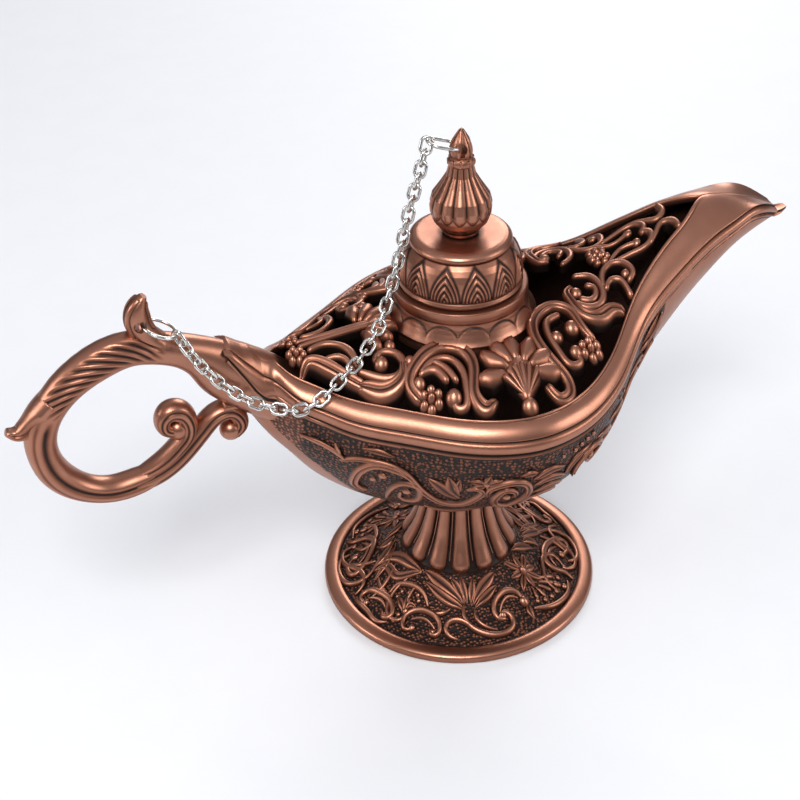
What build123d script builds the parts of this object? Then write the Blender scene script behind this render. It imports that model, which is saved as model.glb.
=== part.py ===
"""A genie oil lamp: cast foot, fluted stem, boat-shaped bowl with a spout, scrolled handle,
pierced cover, collar, lifting lid with a finial, and a cable chain with real links.
Origin: centre of the foot's underside. +Z up, +X towards the spout. Millimetres."""
from build123d import *
import os
from math import cos, hypot, pi, radians, sin

# Overall sizes
grid = 10.0  # side of the squares that the drawn outlines are laid out on
foot_radius = 39.0
seat_height = 12.0
bowl_bottom = 37.0
rim_height = 81.9
boat_half_width = 39.2
tail_reach = 53.4
mouth_reach = 69.5
tail_rise = 9.6
mouth_rise = 25.6
keel_rise = 44.9
collar_rise = 8.5
collar_height = 8.8
lid_height = 11.4
cut_over = 2.0
seat_gap = 0.25

# Where the drawings have the rim, the tail, the mouth and the boat's side, in squares of the grid
drawn_rim_share = 8.19
drawn_tail_share = 5.34
drawn_mouth_share = 6.95
drawn_half_width_share = 3.92

# Foot
foot_wall = 2.2
lip_height = 2.6
lip_width = 4.2
lip_round = 1.1
field_step = 0.9
field_sag_share = 0.42
boss_radius = 7.6
boss_height = 8.0
head_pocket = 3.8

# Stem: height and radius as shares of the stem's height and of its radius at the foot
flutes = 14
stem_foot_radius = 15.6
stem_shares = [(0.0, 1.0), (0.34, 0.74), (0.64, 0.58), (1.0, 0.62)]
flute_bulge_share = 0.34

# Screw through the pedestal
screw_radius = 2.0
screw_clearance = 0.2
screw_head_radius = 3.6
screw_head_height = 2.4
screw_end_over = 2.2
washer_radius = 5.6
washer_height = 1.0
nut_flats = 7.0
nut_height = 3.2
slot_width = 0.9
slot_depth = 1.1

# Bowl and rim
bowl_wall = 2.2
bowl_flat = 1.2
bowl_floor_rise = 3.0
bowl_seat_radius = 11.8
bowl_inset = 0.7
inside_share = 0.95
band_out = 4.5
band_drop = 3.4
band_crown = 0.7
groove_depth = 0.5
bead_out = 0.9
bead_height = 4.0
rim_shelf = 2.2
rim_edge = 1.6
seam_gap = 0.12

# One row for each place along the boat, as shares: reach towards the tail (negative) or the mouth,
# half width, rise, keel, band width, band drop and bead height.
boat_shares = [
    (-1.150, 0.000, 1.42, 0.930, 1.02, 1.50, 1.00),
    (-1.075, 0.000, 1.20, 0.800, 1.18, 1.20, 1.00),
    (-1.000, 0.000, 0.98, 0.640, 1.36, 1.05, 1.00),
    (-0.925, 0.120, 0.62, 0.520, 1.36, 1.02, 1.00),
    (-0.830, 0.243, 0.37, 0.365, 1.33, 1.01, 1.00),
    (-0.740, 0.366, 0.22, 0.263, 1.28, 1.00, 1.00),
    (-0.530, 0.595, 0.09, 0.107, 1.20, 1.00, 1.00),
    (-0.315, 0.814, 0.03, 0.031, 1.12, 1.00, 1.00),
    (-0.090, 0.965, 0.00, 0.002, 1.02, 1.00, 1.00),
    (0.040, 1.000, 0.00, 0.000, 1.00, 1.00, 1.00),
    (0.150, 0.972, 0.00, 0.013, 1.02, 1.00, 1.00),
    (0.263, 0.893, 0.015, 0.056, 1.10, 1.00, 1.00),
    (0.370, 0.774, 0.074, 0.127, 1.20, 1.05, 1.00),
    (0.466, 0.626, 0.167, 0.218, 1.30, 1.12, 1.00),
    (0.550, 0.476, 0.303, 0.318, 1.34, 1.22, 1.00),
    (0.623, 0.366, 0.455, 0.423, 1.34, 1.36, 1.00),
    (0.706, 0.277, 0.623, 0.568, 1.44, 1.54, 0.98),
    (0.797, 0.198, 0.774, 0.724, 1.60, 1.66, 0.92),
    (0.892, 0.120, 0.910, 0.880, 1.78, 1.70, 0.86),
    (1.000, 0.000, 1.004, 1.040, 2.36, 1.52, 0.80),
    (1.080, 0.000, 0.975, 1.150, 2.05, 0.85, 0.76),
    (1.160, 0.000, 0.920, 1.225, 1.66, 0.10, 0.72),
    (1.245, 0.000, 0.825, 1.285, 1.22, -0.30, 0.66),
    (1.325, 0.000, 0.715, 1.318, 0.50, -0.10, 0.56),
]
lip_half_width = 0.9
lip_reach_share = 1.3885
lip_keel_share = 1.345
lip_top_share = 1.372

# Pierced cover
cover_thickness = 2.6
cover_sink = 0.8
frame_width = 1.3
seat_ring_inner = 15.6
seat_ring_outer = 18.9
seat_ring_height = 2.8
crown_rise = 11.1
# Rise of the cover's middle at each place where the boat is open, as shares of the crown's rise.
crown_shares = [0.72, 0.75, 0.78, 0.86, 0.91, 0.94, 0.94, 0.93, 0.93, 0.98, 1.07, 1.20, 1.32, 1.52, 1.77,
                2.04]

# Strokes of the pierced cover on its near half: x, y and half width of the points they run through,
# in squares of the grid.
scroll_shares = [
    [(-2.73, -1.39, .09), (-2.82, -1.22, .09), (-2.70, -1.10, .09), (-2.47, -1.11, .10), (-2.26, -1.29, .11),
     (-2.21, -1.52, .11), (-2.27, -1.69, .11), (-2.42, -1.80, .11), (-2.62, -1.79, .10), (-2.85, -1.69, .10),
     (-3.10, -1.49, .10), (-3.28, -1.34, .08)],
    [(-2.24, -1.62, .10), (-2.36, -1.90, .16), (-2.66, -2.02, .20), (-2.97, -1.96, .20), (-3.22, -1.78, .17),
     (-3.38, -1.66, .10)],
    [(-0.52, -3.33, .08), (-0.78, -3.40, .17), (-0.93, -3.08, .16), (-0.85, -2.75, .14), (-0.70, -2.42, .15),
     (-0.66, -2.00, .16), (-0.84, -1.68, .17), (-1.19, -1.51, .17), (-1.59, -1.55, .17), (-1.97, -1.76, .16),
     (-2.20, -1.97, .15), (-2.28, -2.24, .14), (-2.20, -2.48, .14)],
    [(-1.40, -2.88, .09), (-1.44, -3.08, .09), (-1.28, -3.16, .10), (-1.06, -2.86, .11), (-0.97, -2.50, .10),
     (-0.99, -2.12, .10), (-1.18, -1.86, .09), (-1.55, -1.80, .09), (-1.90, -1.98, .08)],
    [(-1.93, -2.02, .08), (-1.60, -2.02, .12), (-1.43, -2.37, .10)],
    [(-1.52, -1.84, .08), (-1.32, -2.10, .10), (-1.20, -2.48, .08)],
    [(0.90, -3.38, .12), (1.10, -3.66, .15), (1.40, -3.54, .15), (1.48, -3.22, .14), (1.38, -2.89, .14),
     (1.24, -2.47, .14), (1.18, -1.98, .15), (1.29, -1.58, .16), (1.62, -1.24, .16), (2.06, -1.12, .15),
     (2.37, -1.33, .14), (2.47, -1.76, .12), (2.54, -2.12, .11), (2.62, -2.30, .10)],
    [(2.02, -2.55, .09), (2.06, -2.80, .09), (1.80, -2.86, .10), (1.62, -2.48, .10), (1.57, -1.98, .10),
     (1.74, -1.52, .10), (2.06, -1.42, .09)],
    [(3.74, -1.78, .10), (3.50, -1.70, .16), (3.16, -1.80, .19), (2.83, -1.72, .17), (2.64, -1.47, .15),
     (2.58, -1.12, .12), (2.62, -0.82, .10), (2.80, -0.70, .08)],
    [(2.72, -1.25, .10), (2.96, -1.44, .10), (3.27, -1.44, .10), (3.49, -1.20, .10), (3.52, -0.84, .10),
     (3.39, -0.50, .09), (3.10, -0.34, .08)],
    [(2.90, -1.16, .09), (3.10, -1.26, .09), (3.32, -1.12, .09), (3.34, -0.92, .08), (3.22, -0.80, .08)],
    [(3.58, -1.00, .08), (3.74, -0.64, .09), (3.98, -0.46, .09), (4.26, -0.50, .09), (4.42, -0.74, .09),
     (4.42, -1.02, .09), (4.28, -1.12, .08)],
    [(3.64, -1.08, .08), (3.85, -0.92, .08), (4.03, -0.98, .08), (4.12, -1.22, .08), (4.14, -1.47, .09)],
    [(4.30, -0.46, .08), (4.70, -0.50, .08), (5.05, -0.52, .09), (5.27, -0.40, .09), (5.34, -0.16, .09),
     (5.22, 0.02, .09)],
    [(5.20, -0.50, .08), (5.46, -0.30, .08), (5.72, -0.12, .10), (5.92, -0.24, .10), (5.96, -0.56, .08)],
    [(4.04, -0.44, .07), (4.50, -0.16, .07), (4.92, -0.25, .08)],
    [(-4.62, -0.78, .07), (-4.34, -0.62, .13), (-4.06, -0.80, .17), (-3.72, -1.20, .15), (-3.36, -1.62, .12)],
    [(-4.20, -0.30, .08), (-3.86, -0.26, .09), (-3.50, -0.44, .09), (-3.30, -0.74, .10), (-3.28, -1.12, .10)],
    [(-3.96, -0.72, .07), (-3.62, -0.78, .08), (-3.44, -1.02, .08), (-3.42, -1.34, .08)],
    [(-4.40, -0.10, .07), (-3.40, -0.06, .09), (-2.36, -0.04, .12)],
]
# Bosses of the cover on its near half: x, y and radius, in squares of the grid.
boss_sides = 8
boss_shares = [
    (-2.73, -1.38, .18), (-2.06, -1.60, .15), (-1.93, -2.66, .30), (-2.08, -2.22, .17), (-1.42, -2.86, .20),
    (0.25, -3.68, .21), (2.24, -1.91, .20), (1.75, -2.06, .16), (2.04, -2.56, .17), (2.46, -2.56, .32),
    (2.84, -0.92, .16), (4.26, -0.92, .12), (4.92, -0.24, .13), (-4.56, -0.30, .26), (-2.35, -0.98, .15),
    (3.94, -0.10, .28), (6.00, 0.0, .34), (-4.80, 0.0, .34),
]
# Shell of the near half: where it opens from, how its body is drawn, and its lobes.
shell_centre_shares = (0.36, -2.86)
shell_body_shares = [(0.22, -3.56, .08), (0.32, -3.20, .34), (0.38, -2.92, .50), (0.40, -2.72, .44)]
shell_reach_share = 1.04
shell_root_share = 0.34
lobe_half_share = 0.135
lobe_middle_share = 0.62
shell_lobe_angles = [-8, 22, 52, 82, 108, 134, 172]
fan_centre_shares = (-2.86, 0.0)
fan_reach_share = 1.06
fan_lobe_angles = [-76, -50, -25, 0, 25, 50, 76]

# Collar and lid
collar_radius = 17.2
collar_bore = 13.4
skirt_radius = 19.2
skirt_edge = 1.0
skirt_round_height = 4.4
petals = 14
petal_radius = 4.15
petal_rise = 1.3
petal_thickness = 0.6
lid_radius = 15.9
lid_bead_height = 1.9
lid_waist_inset = 0.7
lid_wall = 1.6
lid_shoulder_radius = 12.2
lid_shoulder_drop = 3.36
lid_bulge = 1.3
lid_belly = 7.0
lift_gap = 0.05
spigot_clearance = 0.08
spigot_wall = 1.5
spigot_depth = 6.0
spigot_grip = 3.6
cap_radius = 13.0
cap_height = 2.5
cap_round = 1.1

# Finial: height above its foot and radius for each fluted level
bulb_ribs = 14
bulb_shares = [(0.15, 0.42), (0.36, 0.62), (0.54, 0.68), (0.81, 0.70), (1.05, 0.64), (1.37, 0.44), (1.62, 0.31),
               (1.86, 0.27)]
finial_foot_radius = 4.2
finial_foot_height = 1.2
neck_ring_radius = 3.1
bud_radius = 2.75
neck_ring_rise = 20.2
bud_rise = 22.8
tip_rise = 28.3
eye_rise = 23.4
eye_offset = 0.9
eye_radius = 1.35
cheek = 1.9
cheek_height = 3.8
stud_radius = 1.5
stud_below = 4.6
stud_above = 4.0
finial_nut_flats = 5.5
finial_nut_height = 2.4

# Handle: x, z, half thickness and half width of the points its bars run through, in squares of the grid
loop_shares = [
    (-6.05, 8.74, .78, .42), (-6.40, 9.00, .74, .46), (-6.80, 9.34, .58, .46), (-7.35, 9.72, .44, .42),
    (-8.00, 9.98, .42, .40), (-8.60, 10.10, .44, .42), (-9.27, 9.97, .46, .44), (-9.80, 9.72, .44, .44),
    (-10.20, 9.44, .42, .43), (-10.55, 9.08, .40, .42), (-10.82, 8.68, .40, .41), (-10.98, 8.24, .40, .41),
    (-11.00, 7.70, .39, .40), (-10.86, 7.16, .40, .40), (-10.55, 6.68, .39, .39), (-10.08, 6.30, .35, .38),
    (-9.48, 6.10, .34, .37), (-8.85, 6.14, .34, .37),
]
lower_shares = [
    (-9.10, 6.10, .26, .28), (-8.70, 6.16, .30, .33), (-8.30, 6.28, .31, .35), (-7.75, 6.60, .29, .35),
    (-7.30, 7.02, .28, .34), (-6.98, 7.36, .27, .34), (-6.66, 7.62, .26, .33), (-6.34, 7.66, .24, .33),
    (-6.12, 7.44, .22, .32), (-6.08, 7.14, .20, .30), (-6.26, 6.94, .17, .28),
]
volute_shares = [
    (-8.75, 6.34, .14, .24), (-8.40, 6.46, .19, .31), (-8.10, 6.62, .22, .33), (-7.68, 6.98, .22, .34),
    (-7.42, 7.32, .22, .34), (-7.40, 7.68, .24, .34), (-7.58, 7.98, .28, .33), (-7.84, 8.02, .27, .32),
    (-8.02, 7.82, .22, .30), (-7.98, 7.54, .18, .28), (-7.80, 7.42, .15, .26),
]
leaf_shares = [
    (-10.62, 9.20, .26, .40), (-10.98, 8.86, .26, .40), (-11.26, 8.56, .24, .36), (-11.52, 8.46, .18, .28),
    (-11.74, 8.56, .09, .14),
]
thumb_shares = [
    (-7.70, 9.95, .22, .34), (-8.02, 10.26, .30, .33), (-8.24, 10.62, .30, .28), (-8.28, 10.98, .28, .26),
    (-8.20, 11.26, .20, .22), (-8.06, 11.46, .08, .12),
]
beak_shares = [(-6.50, 7.86, .20, .30), (-6.18, 7.78, .16, .24), (-5.86, 7.46, .05, .08)]
thumb_eye_shares = (-8.18, 10.73)
thumb_eye_radius = 1.5
neck_screw_reach_share = 0.925
neck_screw_drop = 6.85
neck_angle = 36.87
handle_pocket = 2.4
handle_screw_radius = 1.25
handle_screw_length = 18.0
handle_screw_head = 2.1
handle_head_height = 1.6
handle_washer_radius = 2.5
handle_washer_height = 0.6
handle_screw_reach = 21.0

# Chain
link_length = 4.9
link_width = 3.5
link_wire = 0.40
link_pitch = 3.02
pivot_shift = 0.1
eye_slack = 0.5
shortest_pitch_share = 0.9
last_pitch_share = 0.98
halvings = 30
oblong_way_shares = (-0.94, 0.20, 0.28)
link_corners = 10
wire_facets = 6
link_roll = 45.0
first_roll = 65.0
first_setback = 0.15
oblong_length = 9.2
oblong_width = 6.2
oblong_wire = 0.45
ring_radius = 4.3
ring_wire = 0.45
ring_corners = 16
ring_lean = 25.0
ring_droop = 22.0
# The chain's hanging line, in squares of the grid
top_route_shares = [(-1.06, 0.03, 13.20), (-1.42, -0.05, 12.11), (-1.74, -0.20, 11.05), (-2.04, -0.35, 10.27),
                    (-2.42, -0.64, 9.60)]
middle_route_shares = [(-2.77, -0.91, 9.35), (-3.21, -1.19, 9.06), (-3.73, -1.40, 8.81), (-4.20, -1.56, 8.57),
                       (-4.67, -1.62, 8.35), (-5.02, -1.48, 8.22)]
lower_route_shares = [(-5.50, -1.10, 8.20), (-5.92, -0.92, 8.37), (-6.47, -0.78, 8.84), (-7.05, -0.64, 9.61),
                      (-7.36, -0.44, 10.17)]

os.makedirs("parts", exist_ok=True)

bowl_floor = bowl_bottom + bowl_floor_rise
collar_seat = rim_height + collar_rise
collar_top = collar_seat + collar_height
cap_seat = collar_top + lid_height
lip_reach = mouth_reach * lip_reach_share


def place_x(x):
    """A drawn x in millimetres: it follows the boat's reaches, and past the tail it keeps its distance."""
    if x < -drawn_tail_share:
        return (x + drawn_tail_share) * grid - tail_reach
    if x < 0:
        return x / drawn_tail_share * tail_reach
    return x / drawn_mouth_share * mouth_reach


def place_y(y):
    """A drawn y in millimetres: it follows the boat's width."""
    return y / drawn_half_width_share * boat_half_width


def place_z(z):
    """A drawn height in millimetres: it keeps its distance from the rim."""
    return rim_height + (z - drawn_rim_share) * grid


def keel_level(share):
    """A keel share is a part of the bowl's depth up to the rim's height, and of the keel's rise above it."""
    if share < 1:
        return bowl_bottom + share * (rim_height - bowl_bottom)
    return rim_height + (share - 1) * keel_rise


def station(row):
    """Turns one row of shares into the millimetres of that place along the boat."""
    reach, width, rise, keel, band, drop, bead = row
    x = reach * (tail_reach if reach < 0 else mouth_reach)
    z = rim_height + rise * (tail_rise if reach < 0 else mouth_rise)
    return {
        "x": x,
        "w": width * boat_half_width,
        "z": z,
        "keel": keel_level(keel),
        "out": width * boat_half_width + band * band_out,
        "edge": z - drop * band_drop,
        "bead": bead * bead_height,
    }


stations = [station(row) for row in boat_shares]


def seam(s):
    return s["edge"] - s["bead"]


def cross_plane(x):
    """A plane across the boat, with its own x along +Y and its own y along +Z."""
    return Plane(origin=(x, 0, 0), x_dir=(0, 1, 0), z_dir=(1, 0, 0))


def side_plane(y=0.0):
    """A plane along the lamp's middle, with its own x along +X and its own y along +Z."""
    return Plane(origin=(0, y, 0), x_dir=(1, 0, 0), z_dir=(0, -1, 0))


# Foot: a raised plain lip, a field that climbs to the stem's seat, and a hollow underside
field_radius = foot_radius - lip_width
seat_radius = stem_foot_radius + field_step
with BuildPart() as foot:
    with BuildSketch(Plane.XZ):
        with BuildLine():
            a = Line((screw_radius + screw_clearance, 0), (screw_radius + screw_clearance, seat_height))
            b = Line(a @ 1, (seat_radius, seat_height))
            middle = (seat_radius + field_radius) / 2
            low = lip_height - field_step
            c = ThreePointArc(b @ 1, (middle, low + field_sag_share * (seat_height - low)), (field_radius, low))
            d = Line(c @ 1, (field_radius, lip_height))
            e = Line(d @ 1, (foot_radius, lip_height))
            f = Line(e @ 1, (foot_radius, 0))
            Line(f @ 1, a @ 0)
        make_face()
    revolve(axis=Axis.Z)
    lip_edges = foot.edges().filter_by(GeomType.CIRCLE).filter_by(
        lambda edge: abs(edge.radius - foot_radius) < lip_round and edge.center().Z > lip_height / 2)
    fillet(lip_edges, radius=lip_round)
    with BuildSketch(Plane.XZ):
        with BuildLine():
            a = Line((boss_radius, -cut_over), (boss_radius, boss_height))
            b = Line(a @ 1, (seat_radius, boss_height))
            inner = field_radius - foot_wall
            c = ThreePointArc(b @ 1, (middle - foot_wall, low + field_sag_share * (seat_height - low) - foot_wall),
                              (inner, -cut_over))
            Line(c @ 1, a @ 0)
        make_face()
    revolve(axis=Axis.Z, mode=Mode.SUBTRACT)
    with BuildSketch(Plane.XY):
        Circle(washer_radius + screw_clearance)
    extrude(amount=head_pocket, mode=Mode.SUBTRACT)
foot.part.label = "foot"
export_step(foot.part, "parts/foot.step")


# Stem: fourteen rounded flutes that flare to the foot
def fluted_ring(radius, count):
    """A closed ring of outward arcs, one for each flute."""
    with BuildSketch(Plane.XY, mode=Mode.PRIVATE) as ring:
        with BuildLine():
            step = 360 / count
            bulge = flute_bulge_share * radius * pi / count
            for i in range(count):
                start, end = radians(i * step), radians((i + 1) * step)
                half = (start + end) / 2
                ThreePointArc((radius * cos(start), radius * sin(start)),
                              ((radius + bulge) * cos(half), (radius + bulge) * sin(half)),
                              (radius * cos(end), radius * sin(end)))
        make_face()
    return ring.sketch


stem_height = bowl_bottom + bowl_flat - seat_height
with BuildPart() as stem:
    for height_share, radius_share in stem_shares:
        with BuildSketch(Plane.XY.offset(seat_height + height_share * stem_height)):
            add(fluted_ring(radius_share * stem_foot_radius, flutes))
    loft()
    with Locations((0, 0, bowl_bottom)):
        Hole(screw_radius + screw_clearance)
stem.part.label = "stem"
export_step(stem.part, "parts/stem.step")


# Bowl: half ellipses from the tail to the spout's lip, with an open inside
neck_plane = Plane(origin=(-tail_reach * neck_screw_reach_share, 0, rim_height - neck_screw_drop),
                   x_dir=(0, 1, 0), z_dir=(-cos(radians(neck_angle)), 0, sin(radians(neck_angle))))


def half_ellipse(half_width, depth, top, over=0.0):
    """Half an ellipse below its top edge, with upright sides above the edge where it has to cut through."""
    with BuildSketch(Plane.XY, mode=Mode.PRIVATE) as section:
        with BuildLine():
            EllipticalCenterArc((0, top), half_width, depth, start_angle=180, arc_size=180)
            if over:
                Line((half_width, top), (half_width, top + over))
                Line((-half_width, top), (-half_width, top + over))
            Line((half_width, top + over), (-half_width, top + over))
        make_face()
    return section.sketch


with BuildPart() as bowl_inside:
    for s in stations:
        if -tail_reach * inside_share < s["x"] < mouth_reach * inside_share:
            top = seam(s)
            with BuildSketch(cross_plane(s["x"])):
                add(half_ellipse(s["out"] - bowl_inset - bowl_wall, top - s["keel"] - bowl_wall, top, cut_over))
    loft()
with BuildPart() as bowl:
    for s in stations:
        with BuildSketch(cross_plane(s["x"])):
            add(half_ellipse(s["out"] - bowl_inset, seam(s) - s["keel"], seam(s)))
    with BuildSketch(cross_plane(lip_reach)):
        lip_top = keel_level(lip_top_share)
        add(half_ellipse(lip_half_width, lip_top - keel_level(lip_keel_share), lip_top))
    loft()
    add(bowl_inside.part, mode=Mode.SUBTRACT)
    with BuildSketch(Plane.XY.offset(bowl_bottom + bowl_flat)):
        Circle(washer_radius + bowl_wall)
    extrude(amount=bowl_floor - bowl_bottom - bowl_flat)
    with BuildSketch(Plane.XY.offset(bowl_bottom - bowl_wall)):
        Circle(bowl_seat_radius)
    extrude(amount=bowl_wall + bowl_flat, mode=Mode.SUBTRACT)
    with Locations((0, 0, bowl_floor)):
        Hole(screw_radius + screw_clearance)
    with BuildSketch(neck_plane.offset(-handle_pocket)):
        Circle(handle_washer_radius + screw_clearance)
    extrude(amount=handle_pocket * 2, mode=Mode.SUBTRACT)
    with BuildSketch(neck_plane):
        Circle(handle_screw_radius + screw_clearance)
    extrude(amount=handle_screw_reach, mode=Mode.SUBTRACT)
bowl.part.label = "bowl"
export_step(bowl.part, "parts/bowl.step")


# Rim: the polished band and its bead along each side, closed over the tail and over the spout
def band_section(s, closed=False):
    """The band's outline across the boat: one side of it, or both sides as one closed roof."""
    w, z, out, edge = s["w"], s["z"], s["out"], s["edge"]
    slant = hypot(out - w, z - edge)
    crown = ((w + out) / 2 + (z - edge) / slant * band_crown, (z + edge) / 2 + (out - w) / slant * band_crown)
    groove = (out - groove_depth, edge - groove_depth)
    base = (out - groove_depth, seam(s) + seam_gap)
    bulge = (out + bead_out, (groove[1] + base[1]) / 2)
    with BuildSketch(Plane.XY, mode=Mode.PRIVATE) as section:
        with BuildLine():
            for side in (1, -1) if closed else (1,):
                ThreePointArc((side * w, z), (side * crown[0], crown[1]), (side * out, edge))
                Line((side * out, edge), (side * groove[0], groove[1]))
                ThreePointArc((side * groove[0], groove[1]), (side * bulge[0], bulge[1]), (side * base[0], base[1]))
            if closed:
                Line(base, (-base[0], base[1]))
            else:
                Line(base, (out - rim_shelf, base[1]))
                Line((out - rim_shelf, base[1]), (w, z - rim_edge))
                Line((w, z - rim_edge), (w, z))
        make_face()
    return section.sketch


tail_rows = [s for s in stations if s["x"] <= -tail_reach]
spout_rows = [s for s in stations if s["x"] >= mouth_reach]
open_rows = [tail_rows[-1]] + [s for s in stations if s["w"] > 0] + [spout_rows[0]]
with BuildPart() as rim_side:
    for s in open_rows:
        with BuildSketch(cross_plane(s["x"])):
            add(band_section(s))
    loft()
with BuildPart() as rim_tail:
    for s in tail_rows:
        with BuildSketch(cross_plane(s["x"])):
            add(band_section(s, closed=True))
    loft()
with BuildPart() as rim_spout:
    for s in spout_rows:
        with BuildSketch(cross_plane(s["x"])):
            add(band_section(s, closed=True))
    loft()
with BuildPart() as rim:
    add(rim_tail.part)
    add(rim_side.part)
    add(rim_side.part.mirror(Plane.XZ))
    add(rim_spout.part)
rim.part.label = "rim"
export_step(rim.part, "parts/rim.step")


# Pierced cover: scrolls, a shell and bosses, cut from a domed sheet that follows the rim
def dome_section(s, crown_share):
    w, edge, crown = s["w"] - seat_gap, s["z"] - cover_sink, rim_height + crown_share * crown_rise
    with BuildSketch(Plane.XY, mode=Mode.PRIVATE) as section:
        with BuildLine():
            a = ThreePointArc((-w, edge), (0, crown), (w, edge))
            b = Line(a @ 1, (w, edge - cover_thickness))
            c = ThreePointArc(b @ 1, (0, crown - cover_thickness), (-w, edge - cover_thickness))
            Line(c @ 1, a @ 0)
        make_face()
    return section.sketch


def laid_out(shares):
    """Drawn rows of x, y and half width in millimetres."""
    return [(place_x(x), place_y(y), half * grid) for x, y, half in shares]


def ribbon(rows, side):
    """A tapering stroke with pointed ends, drawn through points that carry their half widths."""
    points = [(x, y * side, half) for x, y, half in rows]
    left, right = [], []
    for i, (x, y, half) in enumerate(points):
        before, after = points[max(i - 1, 0)], points[min(i + 1, len(points) - 1)]
        size = hypot(after[0] - before[0], after[1] - before[1])
        dx, dy = (after[0] - before[0]) / size * half, (after[1] - before[1]) / size * half
        left.append((x - dy, y + dx))
        right.append((x + dy, y - dx))
        if i == 0:
            start = (x - dx, y - dy)
    end = (x + dx, y + dy)
    with BuildSketch(Plane.XY, mode=Mode.PRIVATE) as stroke:
        with BuildLine():
            Polyline(start, *left, end, *right[::-1], close=True)
        make_face()
    return stroke.sketch


def fan(centre_shares, reach_share, angles, side):
    """The lobes of a shell: strokes that widen from near the centre to round tips."""
    cx, cy = centre_shares
    with BuildSketch(Plane.XY, mode=Mode.PRIVATE) as lobes:
        for angle in angles:
            dx, dy = cos(radians(angle)), sin(radians(angle))
            lengths = (shell_root_share, reach_share * lobe_middle_share, reach_share - lobe_half_share)
            row = [(cx + dx * t, cy + dy * t, lobe_half_share * (1 + t / reach_share) / 2) for t in lengths]
            add(ribbon(laid_out(row), side))
    return lobes.sketch


open_stations = [s for s in stations if s["w"] > 0]
frame_rows = [(s["x"], -s["w"], seat_gap + frame_width) for s in open_stations]
with BuildPart() as dome:
    for s, crown_share in zip(open_stations, crown_shares):
        with BuildSketch(cross_plane(s["x"])):
            add(dome_section(s, crown_share))
    loft()
    with BuildSketch(Plane.XY.offset(collar_seat)):
        Circle(skirt_radius + seat_gap)
    extrude(amount=crown_rise, mode=Mode.SUBTRACT)
    with BuildSketch(Plane.XY.offset(collar_seat - seat_ring_height)):
        Circle(seat_ring_outer)
    extrude(amount=seat_ring_height)
with BuildSketch() as near_half:
    for row in scroll_shares + [shell_body_shares]:
        add(ribbon(laid_out(row), 1))
    add(ribbon(frame_rows, 1))
    add(fan(shell_centre_shares, shell_reach_share, shell_lobe_angles, 1))
    for x, y, radius in boss_shares:
        with Locations((place_x(x), place_y(y))):
            RegularPolygon(radius * grid, boss_sides)
with BuildPart() as cover:
    with BuildSketch(Plane.XY.offset(rim_height - 2 * cover_thickness)):
        add(near_half.sketch)
        add(near_half.sketch.mirror(Plane.XZ))
        add(fan(fan_centre_shares, fan_reach_share, fan_lobe_angles, 1))
        Circle(seat_ring_outer)
        Circle(seat_ring_inner, mode=Mode.SUBTRACT)
    extrude(amount=mouth_rise + 4 * cover_thickness)
    add(dome.part, mode=Mode.INTERSECT)
cover.part.label = "cover"
export_step(cover.part, "parts/cover.step")

# Collar: a plain band on a flared skirt with fourteen raised petals
skirt_top = collar_seat + skirt_round_height
with BuildPart() as petal_ring:
    with BuildSketch(Plane.XZ):
        with BuildLine():
            a = Line((collar_radius, collar_seat), (skirt_radius, collar_seat))
            b = Line(a @ 1, (skirt_radius, collar_seat + skirt_edge))
            c = ThreePointArc(b @ 1, (collar_radius + petal_thickness * 2, collar_seat + skirt_round_height / 2),
                              (collar_radius + petal_thickness, skirt_top + petal_thickness))
            Line(c @ 1, (collar_radius, skirt_top + petal_thickness))
            Line((collar_radius, skirt_top + petal_thickness), a @ 0)
        make_face()
    revolve(axis=Axis.Z)
with BuildPart() as petal_shapes:
    with PolarLocations(radius=collar_radius, count=petals, start_angle=-90):
        with Locations((0, 0, collar_seat + petal_rise)):
            Cylinder(petal_radius, skirt_radius / 2, rotation=(0, 90, 0))
with BuildPart() as collar:
    add(petal_ring.part & petal_shapes.part)
    with BuildSketch(Plane.XZ):
        with BuildLine():
            a = Line((collar_bore, collar_seat), (skirt_radius - petal_thickness, collar_seat))
            b = Line(a @ 1, (skirt_radius - petal_thickness, collar_seat + skirt_edge / 2))
            c = ThreePointArc(b @ 1, (collar_radius + petal_thickness, collar_seat + skirt_round_height / 2),
                              (collar_radius, skirt_top))
            d = Line(c @ 1, (collar_radius, collar_top))
            e = Line(d @ 1, (collar_bore, collar_top))
            Line(e @ 1, a @ 0)
        make_face()
    revolve(axis=Axis.Z)
collar.part.label = "collar"
export_step(collar.part, "parts/collar.step")

# Lid: a bell with a bead at its foot, open below and bored for the spigot
lid_bottom = collar_top + lift_gap
spigot_radius = collar_bore - spigot_clearance
bead_top = lid_bottom + lid_bead_height
shoulder = (lid_shoulder_radius, cap_seat)
belly = (lid_radius - lid_waist_inset / 2, lid_bottom + lid_belly / 2)
with BuildPart() as lid:
    with BuildSketch(Plane.XZ):
        with BuildLine():
            a = Line((0, cap_seat), (0, cap_seat - lid_wall))
            b = Line(a @ 1, (lid_shoulder_radius - lid_wall, cap_seat - lid_wall))
            c = ThreePointArc(b @ 1, (spigot_radius - lid_wall / 2, cap_seat - lid_belly / 2),
                              (spigot_radius, lid_bottom + spigot_grip))
            d = Line(c @ 1, (spigot_radius, lid_bottom))
            e = Line(d @ 1, (lid_radius - lid_waist_inset, lid_bottom))
            f = ThreePointArc(e @ 1, (lid_radius, (lid_bottom + bead_top) / 2),
                              (lid_radius - lid_waist_inset, bead_top))
            Spline(f @ 1, belly, (lid_radius - lid_bulge, cap_seat - lid_shoulder_drop), shoulder)
            Line(shoulder, a @ 0)
        make_face()
    revolve(axis=Axis.Z)
    with Locations((0, 0, cap_seat)):
        Hole(stud_radius + screw_clearance)
lid.part.label = "lid"
export_step(lid.part, "parts/lid.step")

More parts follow.
